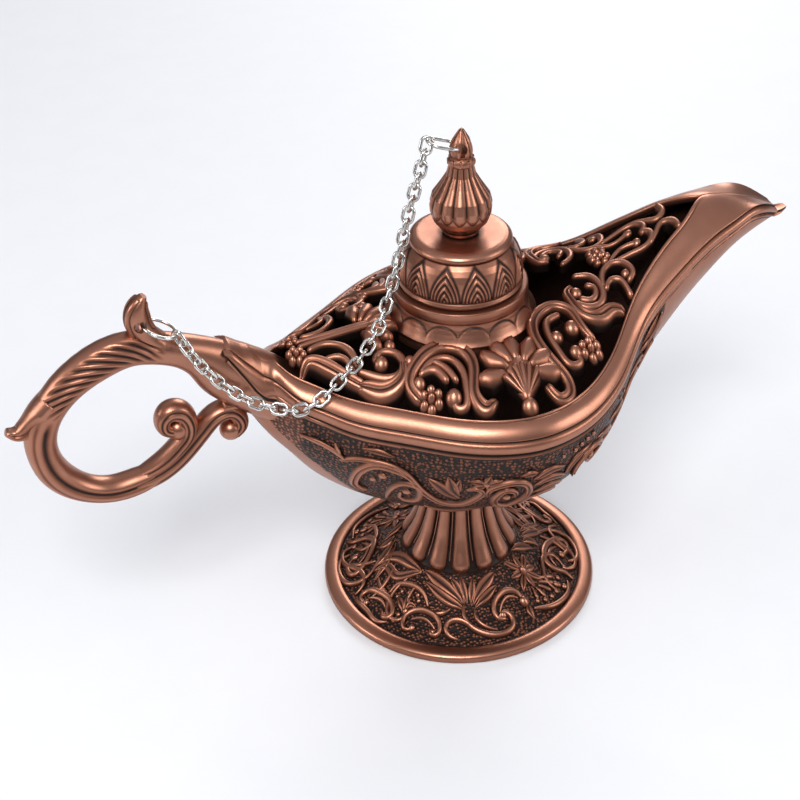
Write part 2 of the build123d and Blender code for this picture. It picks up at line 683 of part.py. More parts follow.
with BuildPart() as lid_spigot:
    with BuildSketch(Plane.XY.offset(lid_bottom - spigot_depth)):
        Circle(spigot_radius)
        Circle(spigot_radius - spigot_wall, mode=Mode.SUBTRACT)
    extrude(amount=spigot_depth + spigot_grip)
lid_spigot.part.label = "lid_spigot"
export_step(lid_spigot.part, "parts/lid_spigot.step")

cap_top = cap_seat + cap_height
with BuildPart() as lid_cap:
    with BuildSketch(Plane.XY.offset(cap_seat)):
        Circle(cap_radius)
        Circle(stud_radius + screw_clearance, mode=Mode.SUBTRACT)
    extrude(amount=cap_height)
    cap_edges = lid_cap.edges().filter_by(GeomType.CIRCLE).filter_by(
        lambda edge: abs(edge.radius - cap_radius) < cap_round)
    fillet(cap_edges, radius=cap_round)
lid_cap.part.label = "lid_cap"
export_step(lid_cap.part, "parts/lid_cap.step")

# Finial: a ribbed bulb on a foot ring, and a bud with the eye for the chain
eye = (-eye_offset, 0, cap_top + eye_rise)
with BuildPart() as finial:
    for rise_share, radius_share in bulb_shares:
        with BuildSketch(Plane.XY.offset(cap_top + rise_share * grid)):
            add(fluted_ring(radius_share * grid, bulb_ribs))
    loft()
    with BuildSketch(Plane.XZ):
        with BuildLine():
            a = Line((0, cap_top), (finial_foot_radius, cap_top))
            b = ThreePointArc(a @ 1, (finial_foot_radius + petal_thickness / 2, cap_top + finial_foot_height / 2),
                              (finial_foot_radius, cap_top + finial_foot_height))
            Line(b @ 1, (0, cap_top + finial_foot_height + foot_wall))
            Line((0, cap_top + finial_foot_height + foot_wall), a @ 0)
        make_face()
        with BuildLine():
            low = cap_top + bulb_shares[-1][0] * grid - petal_thickness
            a = Line((0, low), (neck_ring_radius - petal_thickness, low))
            b = ThreePointArc(a @ 1, (neck_ring_radius, cap_top + neck_ring_rise),
                              (bud_radius - petal_thickness / 2, cap_top + neck_ring_rise + petal_thickness))
            c = Spline(b @ 1, (bud_radius, cap_top + bud_rise),
                       (bud_radius / 2, (cap_top + tip_rise + cap_top + eye_rise + petal_thickness) / 2),
                       (0, cap_top + tip_rise))
            Line(c @ 1, a @ 0)
        make_face()
    revolve(axis=Axis.Z)
    with BuildSketch(side_plane()):
        with Locations((eye[0], eye[2])):
            Circle(eye_radius)
    extrude(amount=bud_radius * 2, both=True, mode=Mode.SUBTRACT)
    for side in (1, -1):
        with Locations((eye[0] - bud_radius + eye_radius / 2, side * (cheek + bud_radius / 2), eye[2])):
            Box(bud_radius * 2, bud_radius, cheek_height, mode=Mode.SUBTRACT)
    with BuildSketch(Plane.XY.offset(cap_top)):
        Circle(stud_radius)
    extrude(amount=stud_above, mode=Mode.SUBTRACT)
finial.part.label = "finial"
export_step(finial.part, "parts/finial.step")

with BuildPart() as finial_stud:
    with BuildSketch(Plane.XY.offset(cap_seat - stud_below)):
        Circle(stud_radius)
    extrude(amount=stud_below + cap_height + stud_above)
finial_stud.part.label = "finial_stud"
export_step(finial_stud.part, "parts/finial_stud.step")

with BuildPart() as finial_nut:
    with BuildSketch(Plane.XY.offset(cap_seat - lid_wall - finial_nut_height)):
        RegularPolygon(finial_nut_flats / 2, 6, major_radius=False)
        Circle(stud_radius, mode=Mode.SUBTRACT)
    extrude(amount=finial_nut_height)
finial_nut.part.label = "finial_nut"
export_step(finial_nut.part, "parts/finial_nut.step")

# Screw, washers and nut that clamp foot, stem and bowl
washer_low = head_pocket - washer_height
with BuildPart() as pedestal_bolt:
    with BuildSketch(Plane.XY.offset(washer_low - screw_head_height)):
        Circle(screw_head_radius)
    extrude(amount=screw_head_height)
    with BuildSketch(Plane.XY.offset(washer_low)):
        Circle(screw_radius)
    extrude(amount=bowl_floor + washer_height + nut_height + screw_end_over - washer_low)
    with BuildSketch(Plane.XY.offset(washer_low - screw_head_height)):
        Rectangle(2 * (screw_head_radius + cut_over), slot_width)
    extrude(amount=slot_depth, mode=Mode.SUBTRACT)
pedestal_bolt.part.label = "pedestal_bolt"
export_step(pedestal_bolt.part, "parts/pedestal_bolt.step")

with BuildPart() as pedestal_washers:
    for low in (washer_low, bowl_floor):
        with BuildSketch(Plane.XY.offset(low)):
            Circle(washer_radius)
            Circle(screw_radius + screw_clearance, mode=Mode.SUBTRACT)
        extrude(amount=washer_height)
pedestal_washers.part.label = "pedestal_washers"
export_step(pedestal_washers.part, "parts/pedestal_washers.step")

with BuildPart() as pedestal_nut:
    with BuildSketch(Plane.XY.offset(bowl_floor + washer_height)):
        RegularPolygon(nut_flats / 2, 6, major_radius=False)
        Circle(screw_radius, mode=Mode.SUBTRACT)
    extrude(amount=nut_height)
pedestal_nut.part.label = "pedestal_nut"
export_step(pedestal_nut.part, "parts/pedestal_nut.step")


# Handle: one long loop with a lower run, a volute and a leaf, all with rounded sections
def bar(shares):
    """A bar through points in the middle plane, with an ellipse across it at each of them."""
    points = [(place_x(x), place_z(z), half * grid, side * grid) for x, z, half, side in shares]
    with BuildPart(mode=Mode.PRIVATE) as run:
        for i, (x, z, half, side) in enumerate(points):
            before, after = points[max(i - 1, 0)], points[min(i + 1, len(points) - 1)]
            across = Plane(origin=(x, 0, z), x_dir=(0, 1, 0), z_dir=(after[0] - before[0], 0, after[1] - before[1]))
            with BuildSketch(across):
                Ellipse(side, half)
        loft()
    return run.part


loop, lower, volute = bar(loop_shares), bar(lower_shares), bar(volute_shares)
leaf, beak, thumb = bar(leaf_shares), bar(beak_shares), bar(thumb_shares)
with BuildPart() as handle:
    add(loop)
    add(lower)
    add(volute)
    add(leaf)
    add(beak)
    for row in (lower_shares[-1], volute_shares[-1]):
        with Locations((place_x(row[0]), 0, place_z(row[1]))):
            Sphere(row[3] * grid)
    add(bowl.part, mode=Mode.SUBTRACT)
    add(rim.part, mode=Mode.SUBTRACT)
    with BuildSketch(neck_plane):
        Circle(handle_screw_radius)
    extrude(amount=handle_screw_reach, mode=Mode.SUBTRACT)
handle.part.label = "handle"
export_step(handle.part, "parts/handle.step")

# Ring's place: it leans out of the middle plane from the eye of the thumb rest
ring_eye = Vector(place_x(thumb_eye_shares[0]), 0, place_z(thumb_eye_shares[1]))
ring_way = Vector(cos(radians(ring_droop)) * cos(radians(ring_lean)),
                  -cos(radians(ring_droop)) * sin(radians(ring_lean)), -sin(radians(ring_droop)))
ring_across = (Vector(0, 1, 0) - ring_way * ring_way.Y).normalized()
ring_plane = Plane(origin=ring_eye + ring_way * ring_radius, x_dir=ring_way, z_dir=ring_way.cross(ring_across))

with BuildPart() as thumb_rest:
    add(thumb)
    add(handle.part, mode=Mode.SUBTRACT)
    with BuildSketch(Plane(origin=ring_eye, x_dir=ring_way, z_dir=ring_across)):
        Circle(thumb_eye_radius)
    extrude(amount=ring_radius, both=True, mode=Mode.SUBTRACT)
thumb_rest.part.label = "thumb_rest"
export_step(thumb_rest.part, "parts/thumb_rest.step")

# Screw and washer that hold the neck from inside the bowl
with BuildPart() as handle_screw:
    with BuildSketch(neck_plane.offset(handle_pocket - handle_washer_height - handle_head_height)):
        Circle(handle_screw_head)
    extrude(amount=handle_head_height)
    with BuildSketch(neck_plane.offset(handle_pocket - handle_washer_height)):
        Circle(handle_screw_radius)
    extrude(amount=handle_screw_length)
handle_screw.part.label = "handle_screw"
export_step(handle_screw.part, "parts/handle_screw.step")

with BuildPart() as handle_washer:
    with BuildSketch(neck_plane.offset(handle_pocket - handle_washer_height)):
        Circle(handle_washer_radius)
        Circle(handle_screw_radius + screw_clearance, mode=Mode.SUBTRACT)
    extrude(amount=handle_washer_height)
handle_washer.part.label = "handle_washer"
export_step(handle_washer.part, "parts/handle_washer.step")


# Chain: closed links of bent wire, each passing through the next
def wire_loop(length, width, wire, corners):
    """One closed link in its own plane: two round ends of straight pieces, mitred at every corner."""
    radius, half = width / 2 - wire, (length - width) / 2
    turns = [180 * i / (corners / 2 - 1) - 90 for i in range(corners // 2)]
    path = [Vector(half + radius * cos(radians(a)), radius * sin(radians(a)), 0) for a in turns]
    path += [Vector(-p.X, -p.Y, 0) for p in path]
    if half == 0:
        path = [Vector(radius * cos(2 * pi * i / corners), radius * sin(2 * pi * i / corners), 0)
                for i in range(corners)]
    rings = []
    for i, corner in enumerate(path):
        into = (corner - path[i - 1]).normalized()
        out = (path[(i + 1) % corners] - corner).normalized()
        along_mitre = (into - out).normalized() * -1
        reach = wire / along_mitre.dot(Vector(out.Y, -out.X, 0))
        rings.append([corner + along_mitre * (reach * cos(2 * pi * k / wire_facets)) * -1
                      + Vector(0, 0, wire * sin(2 * pi * k / wire_facets)) for k in range(wire_facets)])
    faces = []
    for i in range(corners):
        for k in range(wire_facets):
            a, b = rings[i], rings[(i + 1) % corners]
            after = (k + 1) % wire_facets
            faces.append(Face(Wire.make_polygon([a[k], b[k], b[after], a[after]])))
    return Solid(Shell(faces))


def joints(route, pitch):
    """Places along the hanging line, one straight pitch apart."""
    with BuildLine(mode=Mode.PRIVATE) as line:
        hanging = Spline(*route)
    found, low = [Vector(*route[0])], 0.0
    while (hanging @ 1 - found[-1]).length > pitch:
        near, far = low, min(1.0, low + 3 * pitch / hanging.length)
        for _ in range(halvings):
            middle = (near + far) / 2
            if (hanging @ middle - found[-1]).length < pitch:
                near = middle
            else:
                far = middle
        low = near
        found.append(hanging @ near)
    return found


def link_places(points, before, shift_start, shift_end, start_roll=link_roll):
    """One plane for each link between two neighbouring joints, rolled either way by turns."""
    places = []
    for i, (a, b) in enumerate(zip(points, points[1:])):
        way = (b - a).normalized()
        level = way.cross(Vector(0, 1, 0)).normalized()
        roll = (link_roll if i else start_roll) * (1 if (i + before) % 2 else -1)
        normal = level * cos(radians(roll)) + way.cross(level) * sin(radians(roll))
        middle = (a + b) / 2
        if i == 0:
            middle -= way * shift_start
        if i == len(points) - 2:
            middle += way * shift_end
        places.append(Plane(origin=middle, x_dir=way, z_dir=normal))
    return places


def fitted(route, pitch):
    """The joints of a line whose two ends are both fixed, with the pitch that just reaches the end."""
    end = Vector(*route[-1])
    count = len(joints(route, pitch))
    low, high = pitch * shortest_pitch_share, pitch
    for _ in range(halvings):
        middle = (low + high) / 2
        found = joints(route, middle)
        left = (end - found[-1]).length
        if len(found) > count or (len(found) == count and left > middle * last_pitch_share):
            low = middle
        else:
            high = middle
    return joints(route, low)[:count] + [end]


def hung(shares):
    """Drawn places of the hanging line in millimetres."""
    return [(place_x(x), place_y(y), place_z(z)) for x, y, z in shares]


eye_point = Vector(*eye)
oblong_way = Vector(*oblong_way_shares).normalized()
oblong_half = oblong_length / 2 - oblong_wire
oblong_end = eye_point + oblong_way * (2 * oblong_half - eye_slack)
first_joint = oblong_end - oblong_way * first_setback + Vector(0, 0, oblong_wire)
ring_end = ring_eye + ring_way * (2 * ring_radius)
top_route = [tuple(first_joint)] + hung(top_route_shares)
top_joints = fitted(top_route, link_pitch)
middle_route = [top_route[-1]] + hung(middle_route_shares)
middle_joints = fitted(middle_route, link_pitch)
lower_hung = hung(lower_route_shares)
last_way = Vector(*lower_hung[-1]) - Vector(*lower_hung[-2])
last_joint = ring_end + last_way.normalized() * ring_wire
lower_route = [middle_route[-1]] + lower_hung[:-1]
lower_joints = fitted(lower_route + [tuple(last_joint)], link_pitch)

link = wire_loop(link_length, link_width, link_wire, link_corners)
top_places = link_places(top_joints, 0, 0, pivot_shift, first_roll)
middle_places = link_places(middle_joints, len(top_places), pivot_shift, pivot_shift)
lower_places = link_places(lower_joints, len(top_places) + len(middle_places), pivot_shift, 0)

with BuildPart() as finial_link:
    oblong_middle = eye_point + oblong_way * (oblong_half - eye_slack)
    with Locations(Plane(origin=oblong_middle, x_dir=oblong_way, z_dir=oblong_way.cross(Vector(0, 1, 0)))):
        add(wire_loop(oblong_length, oblong_width, oblong_wire, ring_corners))
finial_link.part.label = "finial_link"
export_step(finial_link.part, "parts/finial_link.step")

with BuildPart() as chain_top:
    with Locations(*top_places):
        add(link)
chain_top.part.label = "chain_top"
export_step(chain_top.part, "parts/chain_top.step")

with BuildPart() as chain_middle:
    with Locations(*middle_places):
        add(link)
chain_middle.part.label = "chain_middle"
export_step(chain_middle.part, "parts/chain_middle.step")

with BuildPart() as chain_lower:
    with Locations(*lower_places):
        add(link)
chain_lower.part.label = "chain_lower"
export_step(chain_lower.part, "parts/chain_lower.step")

with BuildPart() as handle_ring:
    with Locations(ring_plane):
        add(wire_loop(2 * ring_radius + 2 * ring_wire, 2 * ring_radius + 2 * ring_wire, ring_wire, ring_corners))
handle_ring.part.label = "handle_ring"
export_step(handle_ring.part, "parts/handle_ring.step")
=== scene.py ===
"""The looks of the genie oil lamp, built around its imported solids.

Tables are in millimetres and degrees. The cover's and the handle's shares are in squares of one grid,
and the boat's and the crown's are shares of the sizes named below them.
"""
import bpy
import numpy as np
from math import cos, pi, radians, sin, sqrt
from mathutils import Matrix, Vector


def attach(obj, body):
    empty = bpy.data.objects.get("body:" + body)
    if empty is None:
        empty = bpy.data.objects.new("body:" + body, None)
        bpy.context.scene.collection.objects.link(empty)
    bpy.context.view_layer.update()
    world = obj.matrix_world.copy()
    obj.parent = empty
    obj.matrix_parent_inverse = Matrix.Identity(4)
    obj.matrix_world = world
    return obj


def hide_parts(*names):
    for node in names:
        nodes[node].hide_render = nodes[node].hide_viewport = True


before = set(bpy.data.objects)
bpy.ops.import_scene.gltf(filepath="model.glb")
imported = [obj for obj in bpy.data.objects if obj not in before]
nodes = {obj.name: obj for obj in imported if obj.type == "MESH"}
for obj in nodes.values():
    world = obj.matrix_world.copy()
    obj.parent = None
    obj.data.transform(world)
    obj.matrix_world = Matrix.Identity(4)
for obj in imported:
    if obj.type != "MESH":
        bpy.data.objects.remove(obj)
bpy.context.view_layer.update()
mm = 0.001


# Materials
class Wire:
    """One socket of a material's tree, which can stand in a sum like a number."""

    def __init__(self, tree, socket):
        self.tree, self.socket = tree, socket

    def node(self, kind, settings, sockets, out=0):
        return add_node(self.tree, kind, settings, sockets, out)

    def math(self, operation, first, second=0.0):
        return self.node("ShaderNodeMath", {"operation": operation}, {0: first, 1: second})

    def __add__(self, other):
        return self.math("ADD", self, other)

    def __sub__(self, other):
        return self.math("SUBTRACT", self, other)

    def __rsub__(self, other):
        return self.math("SUBTRACT", other, self)

    def __mul__(self, other):
        return self.math("MULTIPLY", self, other)

    __radd__ = __add__
    __rmul__ = __mul__

    def ramp(self, low, high):
        """0 below low, 1 above high, and smooth between them."""
        settings = {"interpolation_type": "SMOOTHSTEP"}
        return self.node("ShaderNodeMapRange", settings, {0: self, 1: low, 2: high})

    def blend(self, first, second):
        """From the first colour at 0 to the second at 1."""
        return self.node("ShaderNodeMix", {"data_type": "RGBA"}, {0: self, 6: first, 7: second}, 2)


def add_node(tree, kind, settings, sockets, out=0):
    node = tree.nodes.new(kind)
    for name, value in settings.items():
        setattr(node, name, value)
    for key, value in sockets.items():
        if isinstance(value, Wire):
            tree.links.new(value.socket, node.inputs[key])
        else:
            node.inputs[key].default_value = value
    return Wire(tree, node.outputs[out])


def new_material(name):
    material = bpy.data.materials.new(name)
    material.use_nodes = True
    tree = material.node_tree
    return material, tree, tree.nodes["Principled BSDF"]


def plug(tree, shader, **wires):
    for name, wire in wires.items():
        tree.links.new(wire.socket, shader.inputs[name.replace("_", " ")])


bare_copper = (0.255, 0.098, 0.058, 1)
rubbed_copper = (0.44, 0.205, 0.136, 1)
patina = (0.016, 0.008, 0.006, 1)


def aged_copper(name, wear=None):
    """Copper plate rubbed bright on the high places and left dark in the low ones.

    The wear and the pimpled grain are painted on the mesh, or wear is one number for a whole smooth piece.
    """
    material, tree, shader = new_material(name)
    place = add_node(tree, "ShaderNodeTexCoord", {}, {}, 3)
    if wear is None:
        worn = add_node(tree, "ShaderNodeAttribute", {"attribute_name": "worn"}, {}, 2)
        grain = add_node(tree, "ShaderNodeAttribute", {"attribute_name": "grain"}, {}, 2)
    else:
        worn, grain = wear, 0.0
    cloud = add_node(tree, "ShaderNodeTexNoise", {}, {"Vector": place, "Scale": 170.0, "Detail": 3.0})
    brushing = add_node(tree, "ShaderNodeTexNoise", {}, {"Vector": place, "Scale": 1500.0, "Detail": 2.0})
    pimple = add_node(tree, "ShaderNodeTexVoronoi", {}, {"Vector": place, "Scale": 1000.0, "Randomness": 0.6})
    dot = 1.0 - pimple.ramp(0.22, 0.64)
    level = worn + (cloud - 0.5) * 0.24 - grain * (1.0 - dot) * 0.62
    bare = level.ramp(0.10, 0.78)
    shine = level.ramp(0.60, 1.15)
    colour = shine.blend(bare.blend(patina, bare_copper), rubbed_copper)
    rough = 0.44 - shine * 0.12 + (brushing - 0.5) * 0.10
    height = grain * dot * 0.30 + (brushing - 0.5) * 0.012 + (cloud - 0.5) * 0.02
    bump = add_node(tree, "ShaderNodeBump", {}, {"Strength": 1.0, "Distance": mm, "Height": height})
    plug(tree, shader, Base_Color=colour, Roughness=rough, Normal=bump, Metallic=0.62 + bare * 0.36)
    return material


def plated_steel(name):
    """Bright plated wire with fine drawn marks."""
    material, tree, shader = new_material(name)
    place = add_node(tree, "ShaderNodeTexCoord", {}, {}, 3)
    cloud = add_node(tree, "ShaderNodeTexNoise", {}, {"Vector": place, "Scale": 700.0, "Detail": 3.0})
    colour = cloud.ramp(0.3, 0.7).blend((0.52, 0.50, 0.47, 1), (0.78, 0.77, 0.74, 1))
    bump = add_node(tree, "ShaderNodeBump", {}, {"Strength": 0.5, "Distance": mm, "Height": cloud * 0.03})
    plug(tree, shader, Base_Color=colour, Roughness=0.16 + cloud * 0.16, Normal=bump)
    shader.inputs["Metallic"].default_value = 1.0
    return material


copper = aged_copper("copper")
polished = aged_copper("copper_polished", 0.92)
hidden = aged_copper("copper_dark", 0.25)
steel = plated_steel("steel")


# Curves and meshes
def round_angles(count):
    """Evenly spaced angles all the way round."""
    return np.linspace(0, 2 * pi, count, endpoint=False)


def eased(share):
    """A share held between 0 and 1, with soft ends."""
    share = np.clip(share, 0, 1)
    return share * share * (3 - 2 * share)


def smooth_line(rows, count):
    """Rows spaced evenly along the smooth curve through the given ones; every column is carried along."""
    rows = np.array(rows, float)
    t = np.concatenate([[0.0], np.cumsum(np.linalg.norm(np.diff(rows[:, :2], axis=0), axis=1))])
    return spline(t, rows, np.linspace(0.0, t[-1], count))


def spline(t, rows, at):
    """The natural cubic curve that meets each row at its t, read at other places."""
    n, h = len(t), np.diff(t)
    left, right = np.eye(n), np.zeros_like(rows)
    for i in range(1, n - 1):
        left[i, i - 1:i + 2] = h[i - 1] / 6, (h[i - 1] + h[i]) / 3, h[i] / 6
        right[i] = (rows[i + 1] - rows[i]) / h[i] - (rows[i] - rows[i - 1]) / h[i - 1]
    bend = np.linalg.solve(left, right)
    k = np.clip(np.searchsorted(t, at, side="right") - 1, 0, n - 2)
    a, b, s = (t[k + 1] - at)[:, None], (at - t[k])[:, None], h[k][:, None]
    return ((bend[k] * a ** 3 + bend[k + 1] * b ** 3) / (6 * s) + (rows[k] / s - bend[k] * s / 6) * a
            + (rows[k + 1] / s - bend[k + 1] * s / 6) * b)


class Piece:
    """Gathers points, faces and wear, in millimetres, until they become one mesh."""

    def __init__(self):
        self.points, self.faces, self.worn, self.grain = [], [], [], []

    def sheet(self, points, worn=1.0, grain=0.0, closed=False, flip=False):
        """A sheet of rows of points; closed joins its last column to its first."""
        rows, columns = points.shape[:2]
        start = len(self.points)
        self.points += [tuple(p) for p in points.reshape(-1, 3)]
        self.worn += list(np.broadcast_to(worn, (rows, columns)).ravel())
        self.grain += list(np.broadcast_to(grain, (rows, columns)).ravel())
        for i in range(rows - 1):
            for j in range(columns if closed else columns - 1):
                after = (j + 1) % columns
                face = (start + i * columns + j, start + i * columns + after,
                        start + (i + 1) * columns + after, start + (i + 1) * columns + j)
                self.faces.append(face[::-1] if flip else face)

    def tube(self, points, worn=1.0, both_ends=True):
        """A closed sheet with a face over its first row, and over its last one too."""
        start, (rows, columns) = len(self.points), points.shape[:2]
        self.sheet(points, worn, closed=True, flip=True)
        self.faces.append(tuple(start + j for j in range(columns)))
        if both_ends:
            self.faces.append(tuple(start + rows * columns - 1 - j for j in range(columns)))

    def make(self, name, body, material=copper, replaces=()):
        mesh = bpy.data.meshes.new(name)
        mesh.from_pydata([(x * mm, y * mm, z * mm) for x, y, z in self.points], [], self.faces)
        mesh.polygons.foreach_set("use_smooth", [True] * len(mesh.polygons))
        for key, values in ("worn", self.worn), ("grain", self.grain):
            mesh.attributes.new(key, "FLOAT", "POINT").data.foreach_set("value", values)
        mesh.materials.append(material)
        mesh.update()
        piece = bpy.data.objects.new(name, mesh)
        bpy.context.scene.collection.objects.link(piece)
        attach(piece, body)
        if replaces:
            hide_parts(*replaces)


def turned(piece, section, steps, around):
    """A turned form: section gives radius, height, wear and grain from angle and share of the outline."""
    t, turn = np.meshgrid(np.linspace(0, 1, steps), round_angles(around), indexing="ij")
    radius, z, worn, grain = section(turn, t)
    points = np.stack([radius * np.cos(turn), radius * np.sin(turn), z + 0 * turn], axis=-1)
    piece.sheet(points, worn, grain, closed=True)


def along(outline, t, at=None):
    """Each column of an outline at the places t; its rows stand at the shares at, or evenly spaced."""
    outline = np.array(outline)
    at = np.linspace(0, 1, len(outline)) if at is None else at
    return [np.interp(t, at, column) for column in outline.T]


# Backs of strokes: share of the half width, share of the height (below 0 is the foot), and wear
round_back = [(-1.0, -1.0, 0.0), (-1.0, 0.0, 0.15), (-0.86, 0.50, 0.50), (-0.55, 0.84, 0.85), (0.0, 1.0, 1.0),
              (0.55, 0.84, 0.85), (0.86, 0.50, 0.50), (1.0, 0.0, 0.15), (1.0, -1.0, 0.0)]
two_ridges = [(-1.0, -1.0, 0.0), (-1.0, 0.0, 0.15), (-0.84, 0.72, 0.8), (-0.58, 1.0, 1.0), (-0.30, 0.78, 0.6),
              (-0.14, 0.52, 0.2), (0.04, 0.74, 0.7), (0.42, 0.98, 1.0), (0.80, 0.70, 0.8), (1.0, 0.0, 0.15),
              (1.0, -1.0, 0.0)]
leaf_back = [(-1.0, -1.0, 0.0), (-1.0, 0.15, 0.3), (-0.80, 0.60, 0.9), (-0.45, 0.66, 0.7), (-0.10, 0.42, 0.3),
             (0.0, 0.36, 0.15), (0.10, 0.42, 0.3), (0.45, 0.66, 0.7), (0.80, 0.60, 0.9), (1.0, 0.15, 0.3),
             (1.0, -1.0, 0.0)]


def stroke(piece, rows, place, height, sink=0.3, back=round_back, step=0.45):
    """A raised stroke with round ends, through rows of (u, v, half width), on the surface of place."""
    rows = np.array(rows, float)
    length = np.linalg.norm(np.diff(rows[:, :2], axis=0), axis=1).sum()
    path = smooth_line(rows, max(8, int(length / step)))
    path[:, 2] = np.maximum(path[:, 2], 0.12)
    way = np.gradient(path[:, :2], axis=0)
    way /= np.linalg.norm(way, axis=1)[:, None]
    ends = radians(85), radians(62), radians(36)
    centres = [path[0, :2] - way[0] * path[0, 2] * sin(a) for a in ends]
    centres += list(path[:, :2])
    centres += [path[-1, :2] + way[-1] * path[-1, 2] * sin(a) for a in ends[::-1]]
    halves = [path[0, 2] * cos(a) for a in ends] + list(path[:, 2])
    halves += [path[-1, 2] * cos(a) for a in ends[::-1]]
    lifts = [cos(a) ** 0.7 for a in ends] + [1.0] * len(path) + [cos(a) ** 0.7 for a in ends[::-1]]
    ways = [way[0]] * 3 + list(way) + [way[-1]] * 3
    centres, halves, lifts, ways = np.array(centres), np.array(halves), np.array(lifts), np.array(ways)
    across = np.stack([-ways[:, 1], ways[:, 0]], axis=1)
    k, lift, worn = np.array(back).T
    flat = centres[:, None, :] + across[:, None, :] * (k[None, :, None] * halves[:, None, None])
    tall = np.minimum(height, halves * 1.6)
    high = np.where(lift < 0, -sink, lift * tall[:, None] * lifts[:, None])
    piece.sheet(place(flat[..., 0], flat[..., 1], high), worn * np.minimum(1, 0.5 + lifts[:, None] / 2))


def ball(piece, u, v, radius, place, height=None, sink=0.3):
    """A round boss on the surface of place."""
    height = radius if height is None else height
    a = np.array([4, 25, 47, 68, 86, 90])[:, None] * pi / 180
    turn = round_angles(18)[None, :]
    lift = height * np.cos(a) + 0 * turn
    lift[-1] = -sink
    points = place(u + radius * np.sin(a) * np.cos(turn), v + radius * np.sin(a) * np.sin(turn), lift)
    piece.tube(points, np.clip(1.15 * np.cos(a) + 0.15, 0, 1), both_ends=False)


def flower(piece, u, v, size, place, petals=6, turn=0.0):
    """A centre boss in a ring of round petals."""
    for i in range(petals):
        a = turn + 2 * pi * i / petals
        ball(piece, u + size * 0.62 * cos(a), v + size * 0.62 * sin(a), size * 0.36, place, size * 0.5)
    ball(piece, u, v, size * 0.32, place, size * 0.72)


# The boat, one row for each place along it: reach, half width, rise, keel, band width, band drop, bead
boat_shares = [
    (-1.150, 0.000, 1.42, 0.930, 1.02, 1.50, 1.00),
    (-1.075, 0.000, 1.20, 0.800, 1.18, 1.20, 1.00),
    (-1.000, 0.000, 0.98, 0.640, 1.36, 1.05, 1.00),
    (-0.925, 0.120, 0.62, 0.520, 1.36, 1.02, 1.00),
    (-0.830, 0.243, 0.37, 0.365, 1.33, 1.01, 1.00),
    (-0.740, 0.366, 0.22, 0.263, 1.28, 1.00, 1.00),
    (-0.530, 0.595, 0.09, 0.107, 1.20, 1.00, 1.00),
    (-0.315, 0.814, 0.03, 0.031, 1.12, 1.00, 1.00),
    (-0.090, 0.965, 0.00, 0.002, 1.02, 1.00, 1.00),
    (0.040, 1.000, 0.00, 0.000, 1.00, 1.00, 1.00),
    (0.150, 0.972, 0.00, 0.013, 1.02, 1.00, 1.00),
    (0.263, 0.893, 0.015, 0.056, 1.10, 1.00, 1.00),
    (0.370, 0.774, 0.074, 0.127, 1.20, 1.05, 1.00),
    (0.466, 0.626, 0.167, 0.218, 1.30, 1.12, 1.00),
    (0.550, 0.476, 0.303, 0.318, 1.34, 1.22, 1.00),
    (0.623, 0.366, 0.455, 0.423, 1.34, 1.36, 1.00),
    (0.706, 0.277, 0.623, 0.568, 1.44, 1.54, 0.98),
    (0.797, 0.198, 0.774, 0.724, 1.60, 1.66, 0.92),
    (0.892, 0.120, 0.910, 0.880, 1.78, 1.70, 0.86),
    (1.000, 0.000, 1.004, 1.040, 2.36, 1.52, 0.80),
    (1.080, 0.000, 0.975, 1.150, 2.05, 0.85, 0.76),
    (1.160, 0.000, 0.920, 1.225, 1.66, 0.10, 0.72),
    (1.245, 0.000, 0.825, 1.285, 1.22, -0.30, 0.66),
    (1.325, 0.000, 0.715, 1.318, 0.50, -0.10, 0.56),
]
# Rise of the cover's middle at each place where the boat is open, as shares of the crown's rise.
crown_shares = [0.72, 0.75, 0.78, 0.86, 0.91, 0.94, 0.94, 0.93, 0.93, 0.98, 1.07, 1.20, 1.32, 1.52, 1.77,
                2.04]
# Side of the grid's squares. The cover's strokes and round bosses are cast a little bolder than drawn.
grid = 10
bold, full = 1.05 * grid, 1.1 * grid
